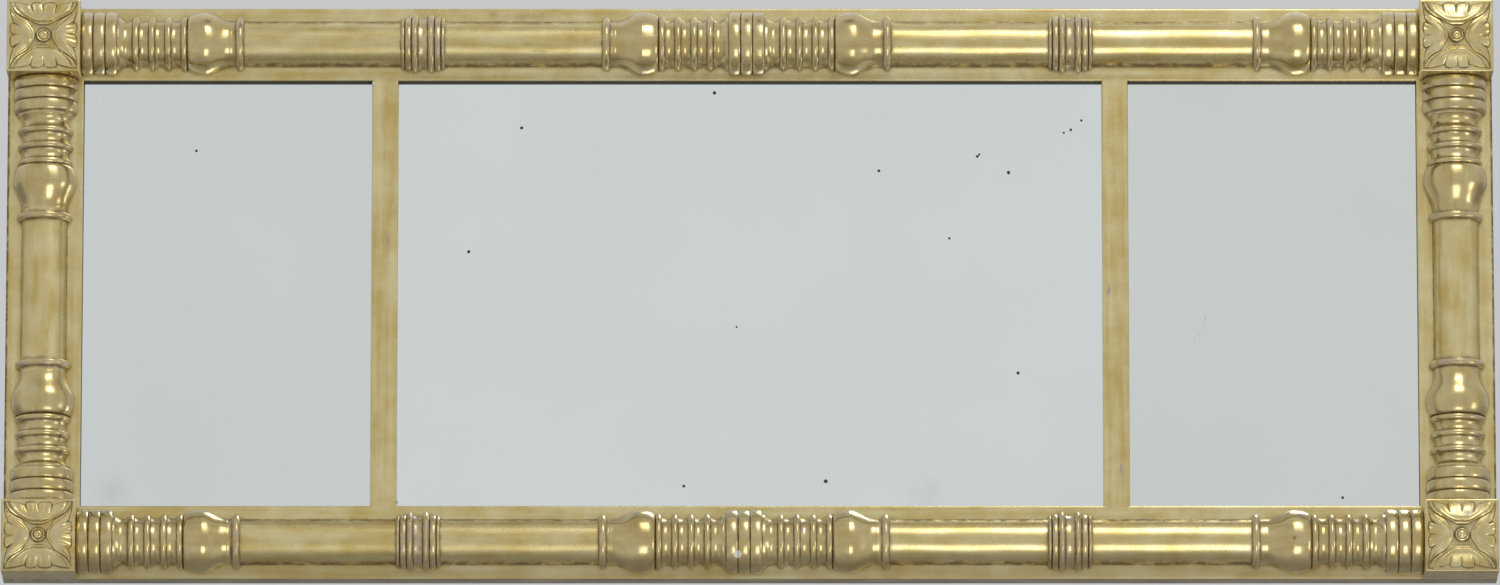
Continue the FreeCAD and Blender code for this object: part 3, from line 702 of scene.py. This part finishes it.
def bar_section(width, lip):
    """Points from the outer edge over face and lip to the back, and the finish of each run."""
    soft = ARRIS_MM * MM
    front = arc_points((soft, FACE_Y + soft), soft, 180, 270)
    front += [(width * share, FACE_Y) for share in FACE_SHARES]
    front += arc_points((width - lip, FACE_Y + lip), lip, 270, 360)
    behind = [(width, PLATE_Y), (width - PLATE_STEP, PLATE_Y), (width - PLATE_STEP, BOARD_Y)]
    behind += [(width - BOARD_STEP, BOARD_Y), (width - BOARD_STEP, BACK_Y)]
    behind += [(BACK_ARRIS, BACK_Y), (0, BACK_Y - BACK_ARRIS)]
    finish = [LEAF] * (len(front) - 1) + [SIGHT_EDGE] + [BARE_PINE] * (len(behind) - 1) + [WASHED_EDGE]
    return np.array(front + behind), finish


def bar_stations(width, lap, keeps_front):
    """Sections from an end of a bar inwards, with their distances: through the lap, then whole."""
    whole, _ = bar_section(width, LIP_MM * MM)
    plain, _ = bar_section(width, 0)
    plain[:, 1] = np.minimum(plain[:, 1], 0) if keeps_front else np.maximum(plain[:, 1], 0)
    stepped = plain.copy()
    if not keeps_front:
        stepped[:, 0] = np.minimum(plain[:, 0], width - BOARD_STEP)
    plain[REBATE_POINTS, 0] = width
    ledge = lap if keeps_front else lap - BOARD_STEP
    return [(0, plain), (ledge, plain), (ledge, stepped), (lap, stepped), (lap, whole)]


# %% Bars with half-lapped ends
BARS = {"top_rail": (0, -1), "bottom_rail": (0, 1), "left_stile": (2, 1), "right_stile": (2, -1)}
BAR_FINISHES = {
    0: [gilt_along_x, pine_along_x, edge_along_x, sight_shadow],
    2: [gilt_along_z, pine_along_z, edge_along_z, sight_shadow],
}
LAPS = {
    0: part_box("left_stile")[1].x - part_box("left_stile")[0].x,
    2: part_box("top_rail")[1].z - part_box("top_rail")[0].z,
}


def lapped_bar(name, run, side):
    """A rail or a stile. Run is the axis that it follows, and side says which way its sight edge faces."""
    low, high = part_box(name)
    across = 2 - run
    keeps_front = run == 2
    width = high[across] - low[across]
    half = bar_stations(width, LAPS[run], keeps_front)
    stations = [(low[run] + place, shape) for place, shape in half]
    stations += [(high[run] - place, shape) for place, shape in reversed(half)]
    points = np.zeros((len(stations), len(half[0][1]), 3))
    for row, (place, shape) in zip(points, stations):
        row[:, run] = place
        row[:, 1] = shape[:, 1]
        row[:, across] = low[across] + shape[:, 0] if side > 0 else high[across] - shape[:, 0]
    faces = tube_faces(*points.shape[:2])
    kinds = bar_section(width, 0)[1] * (len(stations) - 1) + [WASHED_EDGE] * 2
    groove = np.zeros(points.shape[:2])
    # A painted shadow line along the outer edges of the stiles.
    groove[:, : ARRIS_STEPS + 1] = 1.0 if keeps_front else 0.0
    marks = {"groove": groove.ravel()}
    return piece(name + "_bar", points, faces, BAR_FINISHES[run], name, marks, kinds)


for name, (run, side) in BARS.items():
    lapped_bar(name, run, side)

# %% [markdown]
# ## Dividers
# A divider is a flat gilt strip between two plates, with a narrower stem behind. Its ends run up to the
# rails and fill the bevel of the rail's sight edge, so that the faces meet flush under one skin of gesso
# and no seam shows.

# %% Dividers between the plates
STEM_HALF = 5.5 * MM
FLAT_SHARE = 0.8


def divider(name):
    """A divider between the rails, its front ends mitred to the bevel of their sight edges."""
    low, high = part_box(name)
    middle = (low.x + high.x) / 2
    half = (high.x - low.x) / 2
    reach = LIP_MM * MM
    right = [(half * share, FACE_Y) for share in (0.0, FLAT_SHARE)]
    right += arc_points((half - reach, FACE_Y + reach), reach, 270, 360)
    right += [(half, PLATE_Y), (STEM_HALF, PLATE_Y), (STEM_HALF, BOARD_Y)]
    section = right + [(-u, y) for u, y in reversed(right[1:])]
    points = []
    for end, outward in ((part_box("bottom_rail")[1].z, -1), (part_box("top_rail")[0].z, 1)):
        for u, y in section:
            depth = min(max(FACE_Y + reach - y, 0), reach)
            grow = reach - math.sqrt(reach**2 - depth**2)
            points.append((middle + u, y, end + outward * grow))
    return piece(name + "_strip", np.array(points), tube_faces(2, len(section)), [gilt_along_z], name)


for name in ("left_divider", "right_divider"):
    divider(name)

# %% [markdown]
# ## Corner blocks
# Each block is a cube of pine, gessoed and gilt, with arrises soft from handling. A bevel on the front
# edges of a box is all it needs, since the carving on it is a piece of its own.

# %% Blocks with soft arrises
CORNERS = ("top_left", "top_right", "bottom_left", "bottom_right")
BLOCK_ARRIS_MM = 1.8


def block(corner):
    """A corner block with rounded front and side edges."""
    low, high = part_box(corner + "_block")
    work = bmesh.new()
    bmesh.ops.create_cube(work, size=1.0)
    for vert in work.verts:
        vert.co = Vector([low[i] if vert.co[i] < 0 else high[i] for i in range(3)])
    front = [e for e in work.edges if min(v.co.y for v in e.verts) < high.y - MM]
    soft = BLOCK_ARRIS_MM * MM
    bmesh.ops.bevel(work, geom=front, offset=soft, segments=4, profile=0.6, affect="EDGES")
    points = np.array([v.co for v in work.verts])
    work.verts.index_update()
    faces = [[v.index for v in face.verts] for face in work.faces]
    work.free()
    return piece(corner + "_block_gilt", points, faces, [gilt_carved], corner + "_block")


for corner in CORNERS:
    block(corner)

# %% [markdown]
# ## Carved rosettes
# Four fan petals lie round a sunk, star-shaped well. The upper and lower petal overlap the two at the
# sides. Each has a lobed edge, a double bead along its inner border and veins that fan out to the lobes.
# A carver works such a form from the outline inwards, and so do we: the outline and the rim of the well
# are formulas of the angle, and the relief between them is a sum of simple cuts. Sculpting by hand would
# look as good, but would not follow a changed size. The notches sit a little differently on every petal,
# as a carver's do.

# %% The outline of a petal
LOBE_FOOT = 0.89
LOBE_HEIGHT = 0.09
SIDE_FOOT = 0.87
SIDE_HEIGHT = 0.13
SIDE_FULLNESS = 0.8


def petal_edge(across, notches):
    """How far out a petal reaches, as a share of the half size, across from -1 to 1."""
    left, middle, right = notches
    share = np.zeros_like(across)
    for start, end in ((left, middle), (middle, right)):
        t = np.clip((across - start) / (end - start), 0, 1)
        share = np.maximum(share, LOBE_FOOT + LOBE_HEIGHT * np.sqrt(4 * t * (1 - t)))
    for start, sign in ((right, 1), (left, -1)):
        t = np.clip((across - start) * sign / (1 - start * sign), 0, 1)
        side = SIDE_FOOT + SIDE_HEIGHT * np.sin(np.pi / 2 * t) ** SIDE_FULLNESS
        share = np.where((across - start) * sign > 0, side, share)
    return share


# %% The relief of a petal
BORDER_MM = 0.3
WELL_SLANT = 0.9
RISE_MM = (1.4, 4.4)
RISE_RUN_MM = 8
FALL_FROM_MM = 15
FALL_MM = 4.6
SIDES_FALL_LESS = 0.65
BEAD_ROWS_MM = ((1.3, 0.85), (2.9, -0.5), (4.5, 0.75))
BEAD_HALF_MM = 0.75
BEAD_SHARE = {True: 1.0, False: 0.5}
VEINS = 5.2
VEIN_MM = {True: 0.18, False: 0.35}
VEIN_RUN_MM = 12
NOTCH_HALF = 0.035
NOTCH_MM = 1.6
NOTCH_RUN_MM = 9
LINE_HALF_MM = 0.8
LEAST_MM, MOST_MM = 0.5, 6.0


def inner_distance(angle, radius, well):
    """Millimetres from the nearest border of the petal, rounded where borders meet."""
    from_side = radius * np.sin(np.pi / 4 - np.abs(angle)) + BORDER_MM
    from_well = (radius - well) * WELL_SLANT + BORDER_MM
    return (from_side**-3 + from_well**-3) ** (-1 / 3)


def relief(across, angle, radius, well, edge, half, upright, notches, phase):
    """Heights of a petal, how far inside its border each point lies, and its cut lines."""
    inside = inner_distance(angle, radius, well)
    to_edge = edge - radius
    rise = RISE_MM[0] + RISE_MM[1] * np.sin(np.pi / 2 * np.clip(inside / RISE_RUN_MM, 0, 1))
    bend = np.clip((radius * np.cos(angle) - FALL_FROM_MM) / (half - FALL_FROM_MM), 0, 1)
    fall = FALL_MM * (1 - np.cos(np.pi * bend)) / 2 * (1 - SIDES_FALL_LESS * across**2)
    beads = sum(high * hump(inside - at, BEAD_HALF_MM) for at, high in BEAD_ROWS_MM) * BEAD_SHARE[upright]
    veins = VEIN_MM[upright] * np.cos(2 * np.pi * across * VEINS + phase)
    veins = veins * np.clip(1 - to_edge / VEIN_RUN_MM, 0, 1)
    cuts = NOTCH_MM * sum(hump(across - notch, NOTCH_HALF) for notch in notches)
    cuts = cuts * np.clip(1 - to_edge / NOTCH_RUN_MM, 0, 1)
    # Border and notch lines are dark as dirt and painted shade.
    line = np.maximum(hump(inside - BORDER_MM, LINE_HALF_MM), np.clip(cuts / NOTCH_MM, 0, 1))
    return np.clip(rise - fall + beads + veins - cuts, LEAST_MM, MOST_MM), inside, line


# %% [markdown]
# A rosette is four petals side by side on one grid that runs from the floor of the well to the edge, plus
# a thin skirt where the carving meets the block, darkened as dust and painted shade. First comes one petal
# with its share of the well.

# %% One petal and its part of the well
PETAL_STEPS = 90
RELIEF_STEPS = 44
WELL_STEPS = 8
WELL_REACH_MM = {True: 10.2, False: 8.2}
STAR_REACH_MM = 24.0
NOTCH_AT = 0.43
NOTCH_JITTER = 0.035
FLOOR_MM = 1.2
FLOOR_FROM = 0.3
# Painted shade on the sunk floor of the well.
WELL_FLOOR_SHADE = 0.35
OVERLAP = 0.12
BUTTON_RADIUS_MM = 7.0
# A ring of painted shadow round the foot of the button.
BUTTON_SHADOW_RING_MM = (0.6, 1.4)
# Painted shade with some wear: mauve-grey on the inner slopes of the side and upper petals, and a quarter
# as much on the lower petal, whose slope faces the lamps.
SHADED_SLOPE_AT_MM = 8.5
SHADED_SLOPE_HALF_MM = 3.5
SHADED_SLOPE_SHARES = (0.25, 1.0, 1.0, 1.0)
SHADED_SLOPE_MOST = 0.9


def petal_grid(number, half, rng):
    """Angles, radii, heights, wear with painted shade, and lines of a petal. Petals 0 and 2 are upright, 0
    points down.
    """
    upright = number % 2 == 0
    angle = np.linspace(-np.pi / 4, np.pi / 4, PETAL_STEPS, endpoint=False)
    across = np.tan(angle)
    notches = np.array([-NOTCH_AT, 0.0, NOTCH_AT]) + rng.uniform(-NOTCH_JITTER, NOTCH_JITTER, 3)
    edge = petal_edge(across, notches) * half / np.cos(angle)
    reach = WELL_REACH_MM[upright]
    well = reach + (STAR_REACH_MM - reach) * np.abs(across) ** 3
    share = np.linspace(0, 1, RELIEF_STEPS)[:, None] ** 1.1
    radius = well + (edge - well) * share
    phase = rng.uniform(0, 6)
    height, inside, line = relief(across, angle, radius, well, edge, half, upright, notches, phase)
    warp = 1 + (OVERLAP if upright else -OVERLAP) * np.sin(np.pi * share)
    # Painted shade on the inner slopes, with some wear.
    shaded_slope = SHADED_SLOPE_MOST * hump(inside - SHADED_SLOPE_AT_MM, SHADED_SLOPE_HALF_MM) * (1 - across**2) * SHADED_SLOPE_SHARES[number]
    floor = np.linspace(FLOOR_FROM, 1, WELL_STEPS)[:, None] * well
    flat = np.ones_like(floor)
    # A ring of painted shadow round the button on the well floor.
    seam_shade = hump(floor - BUTTON_RADIUS_MM - BUTTON_SHADOW_RING_MM[0], BUTTON_SHADOW_RING_MM[1])
    turn = np.vstack([angle * flat, angle * warp]) + number * np.pi / 2
    radius = np.vstack([floor, radius])
    height = np.vstack([FLOOR_MM * flat, height])
    return turn, radius, height, np.vstack([0 * flat, shaded_slope]), np.vstack([np.maximum(seam_shade, WELL_FLOOR_SHADE), line])


# %% Rosettes from petals
# Skirt rows: how far each grows out, its lift and its darkness, which is dust and painted shade where
# carving meets block.
SKIRT_MM = ((0.7, 0.4, 1.0), (1.7, 0.0, 0.9))
ROSETTE_SEED = 40
BLUR_ROUND, BLUR_OUT = 4, 3
PROUD_FULL_MM = 0.45
CARVED_CREST_SHARE = 0.3


def blurred(height):
    """The average height about each point, half of it taken round the rosette and half outwards."""
    shifts = range(-BLUR_ROUND, BLUR_ROUND + 1)
    beside = sum(np.roll(height, shift, axis=1) for shift in shifts) / len(shifts)
    padded = np.pad(height, ((BLUR_OUT, BLUR_OUT), (0, 0)), mode="edge")
    rows = range(2 * BLUR_OUT + 1)
    return (beside + sum(padded[row : row + len(height)] for row in rows) / len(rows)) / 2


def around(name, turn, radius, height):
    """Points about the axis of a CAD node, by angle, radius and height over its back in millimetres."""
    low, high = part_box(name)
    points = np.zeros(np.broadcast(turn, radius).shape + (3,))
    points[..., 0] = (low.x + high.x) / 2 + radius * np.sin(turn) * MM
    points[..., 1] = high.y - height * MM
    points[..., 2] = (low.z + high.z) / 2 - radius * np.cos(turn) * MM
    return points


def rosette(corner, seed):
    """A carved rosette on the face of a block."""
    name = corner + "_rosette"
    half = (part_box(name)[1].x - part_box(name)[0].x) / 2 / MM
    rng = np.random.default_rng(ROSETTE_SEED + seed)
    grids = [petal_grid(number, half, rng) for number in range(4)]
    turn, radius, height, shaded_slope, line = (np.hstack(part) for part in zip(*grids))
    proud = (height - blurred(height)) / PROUD_FULL_MM
    # The crest mark also carries the painted shade of the slopes.
    crest = np.clip(np.maximum(CARVED_CREST_SHARE * proud, shaded_slope), 0, 1)
    # Hollows and cut lines are dark as dirt and painted shade.
    groove = np.clip(np.maximum(-proud, line), 0, 1)
    layers = [turn, radius, height, crest, groove]
    for grow, lift, dirt_and_shade in SKIRT_MM:
        flat = np.ones_like(turn[-1])
        skirt = (turn[-1], radius[-1] + grow, lift * flat, 0 * flat, dirt_and_shade * flat)
        layers = [np.vstack(pair) for pair in zip(layers, skirt)]
    turn, radius, height, crest, groove = layers
    points = around(name, turn, radius, height)
    marks = {"crest": crest.ravel(), "groove": groove.ravel()}
    return piece(name + "_carved", points, tube_faces(*radius.shape), [gilt_carved], name, marks)


for seed, corner in enumerate(CORNERS):
    rosette(corner, seed)

# %% [markdown]
# ## Turned buttons
# A small turned button sits in the well of each rosette: a ring, a groove and a dimpled dome.

# %% Buttons
BUTTON_SIDES = 48
BUTTON_RIM = ((7.0, 0.0), (7.0, 1.5), (6.7, 2.2), (6.0, 2.6), (5.3, 2.4), (4.8, 2.0), (4.4, 2.3))
BUTTON_DOME = ((3.6, 3.2), (2.4, 3.7), (1.5, 3.7), (0.8, 3.4), (0.3, 3.2))
# A dark ring in the button's groove and at its foot: dirt and painted shade.
BUTTON_GROOVE_MM = (4.8, 0.8)
BUTTON_FOOT_MM = (6.0, 2.0)


def button(corner):
    """A button about its own axis, spun from an outline of radii and heights."""
    name = corner + "_button"
    radius, height = np.array(BUTTON_RIM + BUTTON_DOME).T
    turn = np.linspace(0, 2 * np.pi, BUTTON_SIDES, endpoint=False)
    points = around(name, turn, radius[:, None], height[:, None])
    # The groove and the foot are dark as dirt and painted shade.
    foot = (height < BUTTON_FOOT_MM[1]) * (radius > BUTTON_FOOT_MM[0])
    groove = np.clip(hump(radius - BUTTON_GROOVE_MM[0], BUTTON_GROOVE_MM[1]) + foot, 0, 1)
    marks = {"groove": np.repeat(groove, BUTTON_SIDES)}
    return piece(name + "_turned", points, tube_faces(*points.shape[:2]), [gilt_carved], name, marks)


for corner in CORNERS:
    button(corner)

# %% [markdown]
# ## Old mirror plates
# Each plate is cast glass with silvering behind. It gives back most of the light with a faint tint, which
# differs from plate to plate. The silvering has clouded a little and let go in small dark specks. To the
# eye it is a metal mirror, so that is what the shader is, with spot masks for the specks, for grey
# smudges near the edges and for a fine scratch.

# %% Silvered glass
PLATE_TONES = {"left": "#EAEEEB", "centre": "#EFF4F0", "right": "#EBEEE7"}
CLOUD_SHARE = 0.965
LOST_SILVER = linear("#232523")
SPECKS_MM = (
    (-234, 474, 1.9), (-36, 511, 2.1), (133, 429, 1.7), (266, 427, 2.1), (-288, 344, 1.9), (234, 444, 1.7),
    (236, 446, 1.4), (330, 472, 1.7), (323, 469, 1.4), (341, 482, 1.5), (275, 217, 2.0), (78, 104, 2.3),
    (-67, 99, 1.7), (-568, 450, 1.6), (606, 87, 1.8), (-361, 82, 1.7), (-13, 265, 1.2), (205, 358, 1.4),
)
GREY_SMUDGES_MM = ((-650, 92, 24), (180, 90, 22))
SCRATCH_MM = ((467, 275, 2), (465, 269, 1.2), (463, 263, 1.2), (460, 257, 1.2), (456, 251, 1.2))
SPECK_SHARE = 0.95
GREY_SHARE = 0.16
SCRATCH_SHARE = 0.25


def darker(colour, share):
    """A linear colour with a share of its light."""
    return [c * share for c in colour[:3]] + [1.0]


def silvering(plate, tone):
    """A metal mirror with faint clouds, grey smudges, a scratch and specks of lost silver."""
    material, tree, shader, place = new_material("silvered_glass_" + plate)
    silver = linear(tone)
    cloudy = mapped(noise(place, per(220), 4.0), 0.35, 0.7)
    colour = mixed(cloudy, silver, darker(silver, CLOUD_SHARE))
    smudges = spot_mask(place, [(x, z, r, r) for x, z, r in GREY_SMUDGES_MM], 0.0)
    smudges = calc("MULTIPLY", smudges, noise(place, per(14), 5.0))
    smudges = calc("MULTIPLY", smudges, GREY_SHARE)
    ground = ragged_ground(place, ragged_mm=1.2)
    specks = spot_mask(ground, [(x, z, r, r) for x, z, r in SPECKS_MM], 0.7)
    scratch = spot_mask(ground, [(x, z, r / 2, 2 * r) for x, z, r in SCRATCH_MM], 0.2)
    lost = calc("MULTIPLY_ADD", scratch, SCRATCH_SHARE, smudges)
    lost = calc("MAXIMUM", lost, calc("MULTIPLY", specks, SPECK_SHARE))
    wavy = noise(place, per(90), 1.0)
    bump = add(tree, "Bump", {"Strength": 0.3, "Distance": 0.2 * MM, "Height": wavy})
    sockets = {"Base Color": mixed(lost, colour, LOST_SILVER), "Normal": bump.outputs[0]}
    fill(shader, {"Metallic": 1.0, "Roughness": 0.04, **sockets})
    return material


FINISHES = {plate + "_mirror_plate": silvering(plate, tone) for plate, tone in PLATE_TONES.items()}
print("plates:", list(FINISHES))

# %% [markdown]
# ## The back
# Behind the plates lie three thin boards, nailed into the frame, and two stamped brass hangers. Old iron
# and brass are uneven in tone, so one function mixes a metal colour with its darker self.

# %% Boards, nails and hangers
BOARD_TONES = {
    "bottom": ("#B58D60", "#795636"), "middle": ("#A8835A", "#6E4F33"), "top": ("#BB966A", "#7F5D3B"),
}
BOARD_STREAK_MM = (420, 6, 6)
BOARD_SHIFT = 1.7
BLOTCH_SHARE = 0.45


def metal(name, hex_colour, rough, metallic):
    """A plain old metal with uneven tone."""
    material, tree, shader, place = new_material(name)
    colour = linear(hex_colour)
    blotch = noise(place, per(4), 4.0)
    colour = mixed(blotch, darker(colour, BLOTCH_SHARE), colour)
    fill(shader, {"Base Color": colour, "Metallic": metallic, "Roughness": rough})
    return material


iron = metal("cut_iron_nail", "#75614F", 0.6, 0.7)
brass = metal("stamped_brass", "#B8985A", 0.35, 1.0)
for number, (place, tones) in enumerate(BOARD_TONES.items(), start=1):
    board = place + "_backboard"
    FINISHES[board] = pine("sawn_pine_" + board, tones, BOARD_STREAK_MM, BOARD_SHIFT * number)
FINISHES.update({"wedges": pine_along_x, "nails": iron, "hanger": brass})
for word, finish in FINISHES.items():
    for name in (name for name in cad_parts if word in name):
        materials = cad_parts[name].data.materials
        materials.clear()
        materials.append(finish)
        print(name, "gets", finish.name)

# %% [markdown]
# Screws have a flat head with one slot, and no two slots point the same way. A head is two parts of a
# disc, one on either side of the slot, over a lower disc that is the floor of the slot. The places of the
# heads are read off the points at the very back of the CAD node, so they move with it.

# %% Slotted screw heads
RIM_MM = 0.05
HEAD_GAP = 2 * MM
SLOT_HALF = 0.45 * MM
SLOT_DEPTH = 0.9 * MM
HEAD_SIDES = 28
SLOT_TURNS = (0.5, 1.9, 2.6, 1.1)


def node_points(name):
    """All points of a CAD node in the shared frame, and those at its very back."""
    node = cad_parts[name]
    points = np.array([node.matrix_world @ v.co for v in node.data.vertices])
    return points, points[points[:, 1] > points[:, 1].max() - RIM_MM * MM]


def screw_places(rim):
    """The centre and the radius of each screw head, on the left and on the right, from the lowest up."""
    places = []
    for side in (rim[rim[:, 0] < 0], rim[rim[:, 0] > 0]):
        side = side[np.argsort(side[:, 2])]
        for head in np.split(side, np.flatnonzero(np.diff(side[:, 2]) > HEAD_GAP) + 1):
            low, high = head.min(axis=0), head.max(axis=0)
            places.append(((low + high) / 2, (high[2] - low[2]) / 2))
    return places


def screw_head(centre, radius, turn):
    """Tubes that make up a slotted head: two parts of a disc, and the floor of the slot."""
    start = math.asin(SLOT_HALF / radius)
    half = np.linspace(start, math.pi - start, HEAD_SIDES) + turn
    whole = np.linspace(0, 2 * math.pi, 2 * HEAD_SIDES, endpoint=False)
    tubes = []
    for angles, top in ((half, 0.0), (half + math.pi, 0.0), (whole, -SLOT_DEPTH)):
        flat = np.stack([np.cos(angles), np.zeros_like(angles), np.sin(angles)], axis=1) * radius + centre
        tubes.append(np.stack([flat + (0, top, 0), flat + (0, -2 * SLOT_DEPTH, 0)]))
    return tubes


places = screw_places(node_points("hanger_screws")[1])
tubes = [tube for place, turn in zip(places, SLOT_TURNS) for tube in screw_head(*place, turn)]
piece("hanger_screws_slotted", *joined(tubes), [brass], "hanger_screws", slot="brass")

# %% [markdown]
# Cut nails have square heads, which a hammer leaves a little proud, askew and faceted. Corners at the
# back that lie close together belong to one head.

# %% Hammered nails
HEAD_REACH = 12 * MM
NECK_SHARE = 0.5
TIP_SHARE = 0.25
HEAD_LEVELS_MM = ((-2.0, 1.0), (0.3, 1.0), (1.2, 0.4))
ASKEW = 0.12


def nail_places(rim):
    """The centre and the half width of each nail head, from corners within reach of a first one."""
    heads = []
    for corner in rim:
        near = [head for head in heads if math.dist(corner, head[0]) < HEAD_REACH]
        if near:
            near[0].append(corner)
        else:
            heads.append([corner])
    boxes = [(np.min(head, axis=0), np.max(head, axis=0)) for head in heads]
    return [((low + high) / 2, (high[0] - low[0]) / 2) for low, high in boxes]


def nails(name, seed):
    """Hammered nails in place of a CAD node: a tapering shank and a faceted head."""
    rng = np.random.default_rng(seed)
    points, rim = node_points(name)
    tubes = []
    for centre, half in nail_places(rim):
        turn = np.pi / 4 + np.arange(4) * np.pi / 2 + rng.uniform(-ASKEW, ASKEW)
        square = np.stack([np.cos(turn), np.zeros(4), np.sin(turn)], axis=1) * half * math.sqrt(2)
        levels = [(centre[1] + rise * MM, share) for rise, share in HEAD_LEVELS_MM]
        levels = [(points[:, 1].min(), TIP_SHARE), (levels[0][0], NECK_SHARE)] + levels
        tubes.append(np.stack([square * share + (centre[0], y, centre[2]) for y, share in levels]))
    return piece(name + "_hammered", *joined(tubes), [iron], name, slot="iron")


for seed, name in enumerate(("backboard_nails", "column_nails", "block_nails"), start=60):
    nails(name, seed)

# %% [markdown]
# ## Studio
# A pale floor, a pale surround and soft lamps. The photograph looks up at the mirror from about twelve
# degrees below, so the floor is one-sided: it shows from above and is clear from below.

# %% Floor
FLOOR_HALF = 8.0
FLOOR_GAP_MM = 0.3
corners = [(x * FLOOR_HALF, y * FLOOR_HALF, 0) for x, y in ((-1, -1), (1, -1), (1, 1), (-1, 1))]
mesh = bpy.data.meshes.new("floor")
mesh.from_pydata(corners, [], [(0, 1, 2, 3)])
floor = new_object("floor", mesh)
floor.location.z = -FLOOR_GAP_MM * MM
material, tree, shader, _ = new_material("pale_floor")
fill(shader, {"Base Color": linear("#CFCFCE"), "Roughness": 0.9})
under = add(tree, "NewGeometry").outputs["Backfacing"]
clear = add(tree, "BsdfTransparent").outputs[0]
one_sided = add(tree, "MixShader", {0: under, 1: shader.outputs[0], 2: clear}).outputs[0]
output = next(node for node in tree.nodes if node.type == "OUTPUT_MATERIAL")
fill(output, {"Surface": one_sided})
mesh.materials.append(material)
for rays in ("glossy", "diffuse", "shadow"):
    setattr(floor, "visible_" + rays, False)
print("made the", floor.name)

# %% [markdown]
# The surround does most of the lighting, because gold shows what it mirrors. It is pale in front, darker
# low down and behind, and each level is a plain function of the direction.

# %% Surround
world = bpy.data.worlds.new("pale_surround")
bpy.context.scene.world = world
world.use_nodes = True
tree = world.node_tree
tree.nodes.clear()
way = add(tree, "SeparateXYZ", {0: add(tree, "TexCoord").outputs["Generated"]})
rise, back = way.outputs["Z"], way.outputs["Y"]
front = mapped(rise, -0.97, -0.76, 0.36, 0.70)
front = mapped(rise, -0.12, 0.2, front, 0.74)
front = mapped(rise, 0.5, 1.0, front, 0.6)
behind = mapped(rise, -0.15, 0.1, 0.3, 0.6)
behind = mapped(rise, 0.3, 0.8, behind, 0.85)
level = add(tree, "Mix", {0: mapped(back, -0.25, 0.25), 2: front, 3: behind}).outputs[0]
surround = add(tree, "Background", {"Color": linear("#F8FAFD"), "Strength": level})
add(tree, "OutputWorld", {"Surface": surround.outputs[0]})
print("surround made")

# %% [markdown]
# Lamps draw the highlights along the columns: one above, one below and a weak one between, all on the
# right, and one far to the side for the short columns. A last one stands behind, for whoever walks round
# the mirror.

# %% Lamps
def aimed(name, data, place, aim):
    """A lamp or a camera at a place, turned to a point."""
    holder = new_object(name, data)
    holder.location = place
    holder.rotation_mode = "QUATERNION"
    holder.rotation_quaternion = (Vector(aim) - Vector(place)).to_track_quat("-Z", "Y")
    return holder


def lamp(name, place, aim, size, power, spread_deg=180):
    """A soft rectangular lamp. A narrow spread keeps it off the floor."""
    light = bpy.data.lights.new(name, "AREA")
    light.shape = "RECTANGLE"
    light.size, light.size_y = size
    light.energy = power
    light.spread = math.radians(spread_deg)
    aimed(name, light, place, aim).visible_camera = False


centre = (cad_low + cad_high) / 2
lamp("overhead_right", (0.95, -2.4, 3.34), (0.2, 0, 0.3), (1.6, 1.5), 29)
lamp("low_right", (0.95, -3.6, -2.78), (0.3, 0, 0.3), (1.7, 1.8), 26)
lamp("front_right", (0.9, -2.2, 1.95), (0.4, 0, 0.4), (1.4, 1.0), 3.4)
lamp("far_right", (3.2, -1.3, -0.7), centre, (0.7, 1.1), 7)
lamp("behind", (0.0, 3.0, 0.75), centre, (1.2, 0.8), 9, 90)
print("five lamps")

# %% [markdown]
# ## Camera
# The photo shows hardly any perspective, so the camera stands far off with a long lens. It looks up from
# below, as someone does who sits in front of a mantelpiece. The lens follows from the distance and the
# width of the view.

# %% Camera
CAMERA_BELOW_DEG = 12
CAMERA_DISTANCE = 14.0
VIEW_WIDTH = 1.536
camera_data = bpy.data.cameras.new("camera")
camera_data.sensor_width = 36
camera_data.lens = camera_data.sensor_width * CAMERA_DISTANCE / VIEW_WIDTH
target = Vector((0, FACE_Y, centre.z))
tilt = math.radians(CAMERA_BELOW_DEG)
stand = target + CAMERA_DISTANCE * Vector((0, -math.cos(tilt), -math.sin(tilt)))
bpy.context.scene.camera = aimed("camera", camera_data, stand, target)
bpy.context.scene.view_settings.view_transform = "Standard"
print("lens in millimetres:", round(camera_data.lens))
